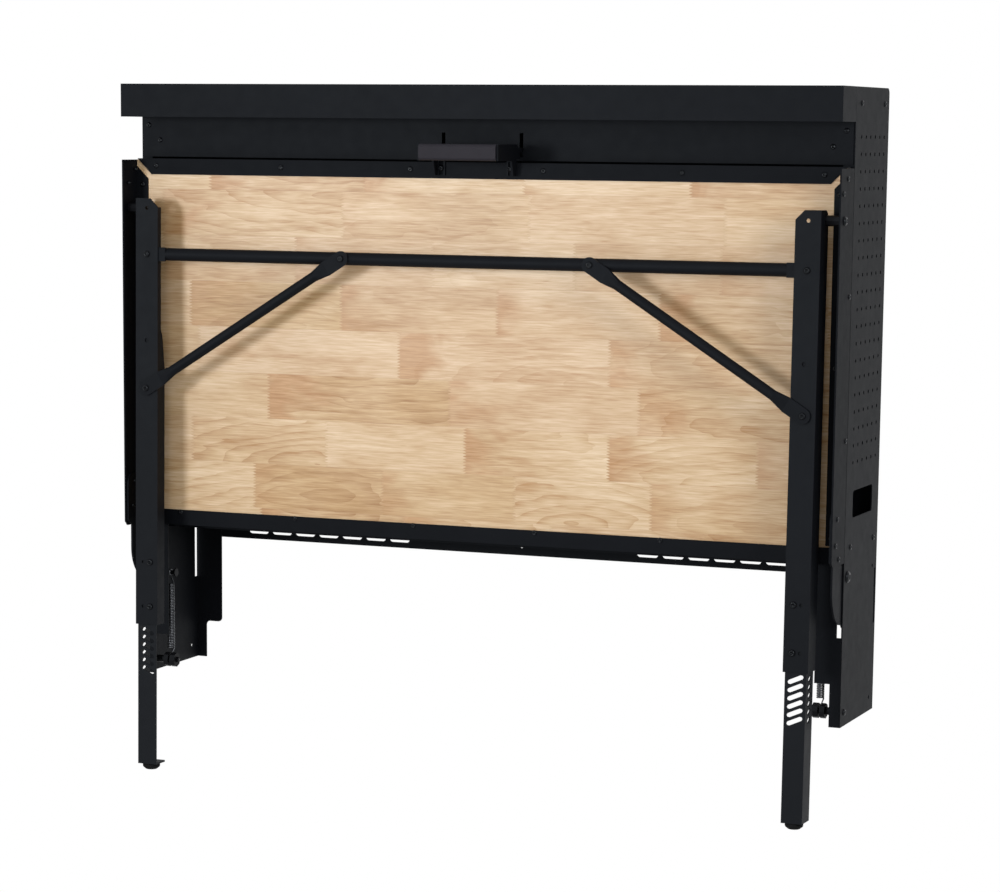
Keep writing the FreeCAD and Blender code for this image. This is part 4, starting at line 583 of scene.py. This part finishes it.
near_end = calc("SUBTRACT", STAIN_START, calc("MULTIPLY", block_share, STAIN_FALL))
stain = calc("ADD", near_end, calc("MULTIPLY", calc("SUBTRACT", blotch, 0.5), BLOTCH_PART))
some = calc("MAXIMUM", between(per_block("stain"), STAIN_SPAN), 0.0)
smoky = calc("MULTIPLY", calc("MAXIMUM", stain, 0.0), some)
smoke_colour = ramp(wood_tree, fibre, SMOKE_COLOURS)
toned = blend_colours(calc("MINIMUM", smoky, STAIN_MOST), toned, smoke_colour)
knots = wood_tree.nodes.new("ShaderNodeTexVoronoi")
knots.inputs["Scale"].default_value = KNOT_SCALE
wood_tree.links.new(wood_place, knots.inputs["Vector"])
knot = calc("LESS_THAN", knots.outputs["Distance"], KNOT_SIZE)
toned = blend_colours(calc("MULTIPLY", knot, KNOT_PART), toned, smoke_colour)
end_seam = calc("LESS_THAN", calc("MULTIPLY", block_share, block_length), END_JOINT)
row_seam = calc("LESS_THAN", calc("MULTIPLY", row_share, STAVE), ROW_JOINT)
seam = calc("MAXIMUM", end_seam, row_seam)
seam_colour = ramp(wood_tree, fibre, SEAM_COLOURS)
toned = blend_colours(calc("MULTIPLY", seam, SEAM_PART), toned, seam_colour)
wood_tree.links.new(toned, wood_shader.inputs["Base Color"])
wood_tree.links.new(between(fibre, WOOD_ROUGH), wood_shader.inputs["Roughness"])
relief = calc("SUBTRACT", fibre, calc("MULTIPLY", seam, SEAM_DEPTH))
bump(wood_tree, wood_shader, relief, WOOD_BUMP, WOOD_DEPTH)
print("wood nodes", len(wood_tree.nodes))

# %% [markdown]
# ## Finishes on the solids
#
# Each solid of the frame already has the right shape, so it only takes a finish. The record names a slot
# for each node, and a few nodes have a coat of their own: rails, legs, extensions and small dark fittings.

# %% Finishes of the frame's nodes
FINISHES = {
    "coated_steel": steel_coat,
    "black_fasteners": screw_coat,
    "zinc_steel": zinc,
    "black_plastic": spool_plastic,
    "black_rubber": foot_rubber,
    "brass": bush_metal,
    "wood": wood,
    "grip_plastic": grip_plastic,
}
DARK_FITTINGS = (
    "spring_studs",
    "anchor_bolts",
    "anchor_nuts",
    "anchor_spacers",
    "hinge_nuts",
    "pivot_spacers",
)
COAT_OF_NODE = {
    spool_plastic: DARK_FITTINGS,
    rail_coat: ("front_rail", "rear_rail", "left_side_rail", "right_side_rail"),
    leg_coat: ("left_leg", "right_leg"),
    foot_coat: ("left_leg_extension", "right_leg_extension"),
}
own_look = {node: look for look, nodes in COAT_OF_NODE.items() for node in nodes}
slot_of = {entry["node"]: entry["material_slot"] for entry in frame["record"]["subparts"]}
for node, item in frame["nodes"].items():
    look = own_look.get(node, FINISHES[slot_of[node]])
    for slot in item.material_slots:
        slot.material = look
print("dressed", len(slot_of))

# %% [markdown]
# ## Trees that make repeated pieces
#
# Screws and springs repeat, so Geometry Nodes make them. One helper starts a tree with named inputs, one
# closes it, and another runs it on an object, keeps the result as a plain mesh and takes the modifier off.

# %% Geometry Nodes helpers


def named_tree(name, inputs):
    """Geometry Nodes tree with a geometry in and out and the named inputs."""
    group = bpy.data.node_groups.new(name, "GeometryNodeTree")
    group.interface.new_socket("Geometry", in_out="INPUT", socket_type="NodeSocketGeometry")
    group.interface.new_socket("Geometry", in_out="OUTPUT", socket_type="NodeSocketGeometry")
    for label, kind in inputs:
        group.interface.new_socket(label, in_out="INPUT", socket_type=kind)
    return group, group.nodes.new("NodeGroupInput"), group.nodes.new("NodeGroupOutput")


def close_tree(group, start, end, geometry):
    """Finish a tree: realize, smooth, and set the finish."""
    real = group.nodes.new("GeometryNodeRealizeInstances")
    smooth = group.nodes.new("GeometryNodeSetShadeSmooth")
    paint = group.nodes.new("GeometryNodeSetMaterial")
    group.links.new(geometry, real.inputs["Geometry"])
    group.links.new(real.outputs["Geometry"], smooth.inputs["Geometry"])
    group.links.new(smooth.outputs["Geometry"], paint.inputs["Geometry"])
    group.links.new(start.outputs["Finish"], paint.inputs["Material"])
    group.links.new(paint.outputs["Geometry"], end.inputs["Geometry"])


def made(item, group, values, name):
    """Run a tree on an object and keep what it makes as a plain mesh piece."""
    modifier = item.modifiers.new(group.name, "NODES")
    modifier.node_group = group
    for socket in group.interface.items_tree:
        if socket.in_out == "INPUT" and socket.name in values:
            modifier[socket.identifier] = values[socket.name]
    graph = bpy.context.evaluated_depsgraph_get()
    mesh = bpy.data.meshes.new_from_object(item.evaluated_get(graph))
    item.modifiers.remove(modifier)
    bpy.data.objects.remove(item)
    piece = bpy.data.objects.new(name, mesh)
    bpy.context.collection.objects.link(piece)
    print(name, "faces", len(mesh.polygons))
    return piece


# %% [markdown]
# ## Button head screws
#
# The sheets are held by screws with low domed heads and a hexagon socket. Placing them by hand would take
# a list of dozens of places. The frame's screws are plain prisms, so their seats, radii and lengths are
# measured from a merged copy of their meshes. One head and one shank of unit size are then put on every
# seat, turned to face outwards and scaled to the measured size.

# %% One head and one shank
ROUND = 24
HALF_SIDE = math.pi / 6
HEAD_RINGS = (
    (1.0, 0.0, 0),
    (1.0, 0.16, 0),
    (0.965, 0.40, 0),
    (0.87, 0.66, 0),
    (0.74, 0.85, 0),
    (0.60, 0.96, 0),
    (0.53, 0.98, 1),
    (0.48, 0.92, 1),
    (0.47, 0.35, 1),
)
SHANK_RINGS = ((1.0, -1.0, 0), (1.0, 0.0, 0))


def turned(name, rings):
    """Closed round of unit size from (radius, height, six-sided) rings."""
    points = []
    for radius, height, six in rings:
        for k in range(ROUND):
            angle = 2 * math.pi * k / ROUND
            off_middle = (angle + HALF_SIDE) % (2 * HALF_SIDE) - HALF_SIDE
            flat = math.cos(HALF_SIDE) / math.cos(off_middle)
            reach = radius * (flat if six else 1)
            points.append((reach * math.cos(angle), reach * math.sin(angle), height))
    faces = [tuple(reversed(range(ROUND)))]
    for step in range(len(rings) - 1):
        low = step * ROUND
        for k in range(ROUND):
            after = (k + 1) % ROUND
            faces.append((low + k, low + after, low + ROUND + after, low + ROUND + k))
    last = (len(rings) - 1) * ROUND
    faces.append(tuple(range(last, last + ROUND)))
    return plain(name, points, (), faces)


head = turned("unit_head", HEAD_RINGS)
shank = turned("unit_shank", SHANK_RINGS)
print("head faces", len(head.data.polygons))

# %% Seats of the screws
MERGE = 1e-6
RIM_SHARE = 0.85


def islands(node):
    """Point lists of the separate solids in a node, in the same order at each run."""
    work = bmesh.new()
    work.from_mesh(frame["nodes"][node].data)
    bmesh.ops.remove_doubles(work, verts=work.verts, dist=MERGE)
    reached = set()
    found = []
    for first in work.verts:
        if first in reached:
            continue
        reached.add(first)
        group = [first]
        for vert in group:
            for edge in vert.link_edges:
                other = edge.other_vert(vert)
                if other not in reached:
                    reached.add(other)
                    group.append(other)
        found.append([v.co.copy() for v in group])
    work.free()
    return found


def limits(points):
    """Lowest and highest coordinates of points."""
    low = [min(p[i] for p in points) for i in range(3)]
    high = [max(p[i] for p in points) for i in range(3)]
    return low, high


def seat_of(points):
    """Seat, outward direction, head size and shank size of one screw."""
    low, high = limits(points)
    axis = max(range(3), key=lambda i: high[i] - low[i])
    middle = Vector([(a + b) / 2 for a, b in zip(low, high)])
    reach = []
    for p in points:
        away = p - middle
        away[axis] = 0
        reach.append(away.length)
    widest = max(reach)
    rim = [p[axis] for p, r in zip(points, reach) if r > RIM_SHARE * widest]
    side = 1 if sum(rim) / len(rim) > middle[axis] else -1
    seat = min(rim) if side > 0 else max(rim)
    top = max(rim) if side > 0 else min(rim)
    tail = low[axis] if side > 0 else high[axis]
    slim = max([r for r in reach if r <= RIM_SHARE * widest], default=widest / 2)
    place = middle.copy()
    place[axis] = seat
    facing = Vector((0, 0, 0))
    facing[axis] = side
    return place, facing, (widest, widest, abs(top - seat)), (slim, slim, abs(seat - tail))


# %% Tree that puts heads and shanks on their seats
tree, start, end = named_tree(
    "screws_on_seats",
    [("Head", "NodeSocketObject"), ("Shank", "NodeSocketObject"), ("Finish", "NodeSocketMaterial")],
)


def stored(tree, name):
    """Vector that is stored on each seat."""
    node = tree.nodes.new("GeometryNodeInputNamedAttribute")
    node.data_type = "FLOAT_VECTOR"
    node.inputs["Name"].default_value = name
    return node.outputs["Attribute"]


seats = tree.nodes.new("GeometryNodeMeshToPoints")
tree.links.new(start.outputs["Geometry"], seats.inputs["Mesh"])
turn = tree.nodes.new("FunctionNodeAlignRotationToVector")
turn.axis = "Z"
tree.links.new(stored(tree, "facing"), turn.inputs["Vector"])
together = tree.nodes.new("GeometryNodeJoinGeometry")
for label, size in (("Head", "head_size"), ("Shank", "shank_size")):
    shape = tree.nodes.new("GeometryNodeObjectInfo")
    tree.links.new(start.outputs[label], shape.inputs["Object"])
    put = tree.nodes.new("GeometryNodeInstanceOnPoints")
    tree.links.new(seats.outputs["Points"], put.inputs["Points"])
    tree.links.new(shape.outputs["Geometry"], put.inputs["Instance"])
    tree.links.new(turn.outputs["Rotation"], put.inputs["Rotation"])
    tree.links.new(stored(tree, size), put.inputs["Scale"])
    tree.links.new(put.outputs["Instances"], together.inputs["Geometry"])
close_tree(tree, start, end, together.outputs["Geometry"])
screw_tree = tree
print("screw tree nodes", len(screw_tree.nodes))

# %% Screws of each body
SCREW_NODES = {
    "cabinet": ("cabinet_screws", "hinge_bolts", "anchor_bolts"),
    "bench": ("rail_screws", "leg_pivot_bolts", "latch_guide_bolts"),
    "leg_frame": ("frame_bolts", "leg_clamp_bolts"),
}


def on_seats(name, seats, top, tail, look):
    """Piece with a head and a shank on every (place, facing, head size, shank size) seat."""
    item = plain(name + "_seats", [seat[0] for seat in seats])
    for k, label in enumerate(("facing", "head_size", "shank_size"), 1):
        store = item.data.attributes.new(label, "FLOAT_VECTOR", "POINT")
        store.data.foreach_set("vector", [v for seat in seats for v in seat[k]])
    return made(item, screw_tree, {"Head": top, "Shank": tail, "Finish": look}, name)


for body, nodes in SCREW_NODES.items():
    screws = [seat_of(points) for node in nodes for points in islands(node)]
    piece = on_seats(body + "_button_screws", screws, head, shank, screw_coat)
    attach(piece, body)
    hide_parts(*nodes)

# %% [markdown]
# ## Levelling feet
#
# Each leg stands on a glide, a puck with a chamfered lower edge on a threaded stud. It is a round like a
# screw, with the puck for a head, so the same tree can put it in place. The frame tells where its sole is,
# which way it moves and how far the stud reaches.

# %% Feet
GLIDE_R = 0.014
GLIDE_TALL = 0.0097
STUD_R = 0.0036
SOLE_SLACK = 1e-5
GLIDE_RINGS = ((1.0, 0.0, 0), (1.0, 0.45, 0), (0.95, 0.62, 0), (0.66, 0.96, 0), (0.60, 1.0, 0))

glide = turned("unit_glide", GLIDE_RINGS)
slides = [joint for joint in frame["record"]["behaviour"]["joints"] if joint["type"] == "slide"]
foot_axis = {joint["child"]: Vector(joint["axis"]) for joint in slides}
for side in ("left", "right"):
    node = side + "_foot"
    body = side + "_levelling_foot"
    down = foot_axis[body]
    points = [v.co for v in frame["nodes"][node].data.vertices]
    depths = [p.dot(down) for p in points]
    sole = [p for p, depth in zip(points, depths) if depth > max(depths) - SOLE_SLACK]
    middle = Vector([(a + b) / 2 for a, b in zip(*limits(sole))])
    stud = max(depths) - min(depths) - GLIDE_TALL
    seat = (middle - down * GLIDE_TALL, down, (GLIDE_R, GLIDE_R, GLIDE_TALL), (STUD_R, STUD_R, stud))
    piece = on_seats(side + "_glide", [seat], glide, shank, foot_rubber)
    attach(piece, body)
    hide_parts(node)
for unit in (head, shank, glide):
    bpy.data.objects.remove(unit)

# %% [markdown]
# ## Counterbalance springs
#
# A close wound extension spring on each side pulls the bench up. A Screw modifier could wind the coil, but
# not its ends, so the wire is drawn as one line: an eye round the spool on the cabinet, a straight lead,
# the coil, and an eye round the stud of the hinge plate. A tree turns both lines into one piece of wire.

# %% Line of a spring
SPRING_X = 0.553
SPRING_Y = -0.1663
SPOOL_HEIGHT = up(0.0213)
STUD_HEIGHT = up(0.166)
SPOOL_EYE = 0.0049
STUD_EYE = 0.0047
SPOOL_ARC = (-240, 90)
STUD_ARC = (-90, 240)
EYE_STEPS = 22
COIL_FOOT = up(0.040)
COIL_HEAD = up(0.147)
COIL_R = 0.0052
TURNS = 40
TURN_STEPS = 12


def eye(x, height, radius, arc):
    """Points round a pin along X, between two angles in degrees."""
    first, last = arc
    points = []
    for k in range(EYE_STEPS + 1):
        angle = math.radians(first + (last - first) * k / EYE_STEPS)
        points.append((x, SPRING_Y + radius * math.cos(angle), height + radius * math.sin(angle)))
    return points


def spring_line(x):
    """Centre line of one spring from the spool to the stud."""
    points = eye(x, SPOOL_HEIGHT, SPOOL_EYE, SPOOL_ARC)
    for k in range(TURNS * TURN_STEPS + 1):
        angle = 2 * math.pi * k / TURN_STEPS
        share = k / (TURNS * TURN_STEPS)
        height = COIL_FOOT + (COIL_HEAD - COIL_FOOT) * share
        points.append((x + COIL_R * math.cos(angle), SPRING_Y + COIL_R * math.sin(angle), height))
    return points + eye(x, STUD_HEIGHT, STUD_EYE, STUD_ARC)


spring_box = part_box("springs")
print("frame's springs", [[round(v, 4) for v in corner] for corner in spring_box])

# %% Tree that turns a line into wire
tree, start, end = named_tree(
    "wire_on_line",
    [("Wire radius", "NodeSocketFloat"), ("Sides", "NodeSocketInt"), ("Finish", "NodeSocketMaterial")],
)
line = tree.nodes.new("GeometryNodeMeshToCurve")
ring = tree.nodes.new("GeometryNodeCurvePrimitiveCircle")
wire = tree.nodes.new("GeometryNodeCurveToMesh")
wire.inputs["Fill Caps"].default_value = True
tree.links.new(start.outputs["Geometry"], line.inputs["Mesh"])
tree.links.new(start.outputs["Sides"], ring.inputs["Resolution"])
tree.links.new(start.outputs["Wire radius"], ring.inputs["Radius"])
tree.links.new(line.outputs["Curve"], wire.inputs["Curve"])
tree.links.new(ring.outputs["Curve"], wire.inputs["Profile Curve"])
close_tree(tree, start, end, wire.outputs["Mesh"])
print("wire tree nodes", len(tree.nodes))

# %% Both springs
WIRE_R = 0.0011
WIRE_SIDES = 8

points = []
edges = []
for side in (-1, 1):
    run = spring_line(side * SPRING_X)
    edges += [(len(points) + k, len(points) + k + 1) for k in range(len(run) - 1)]
    points += run
wire_values = {"Wire radius": WIRE_R, "Sides": WIRE_SIDES, "Finish": zinc}
springs = made(plain("spring_lines", points, edges), tree, wire_values, "spring_wire")
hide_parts("springs")
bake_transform(springs)
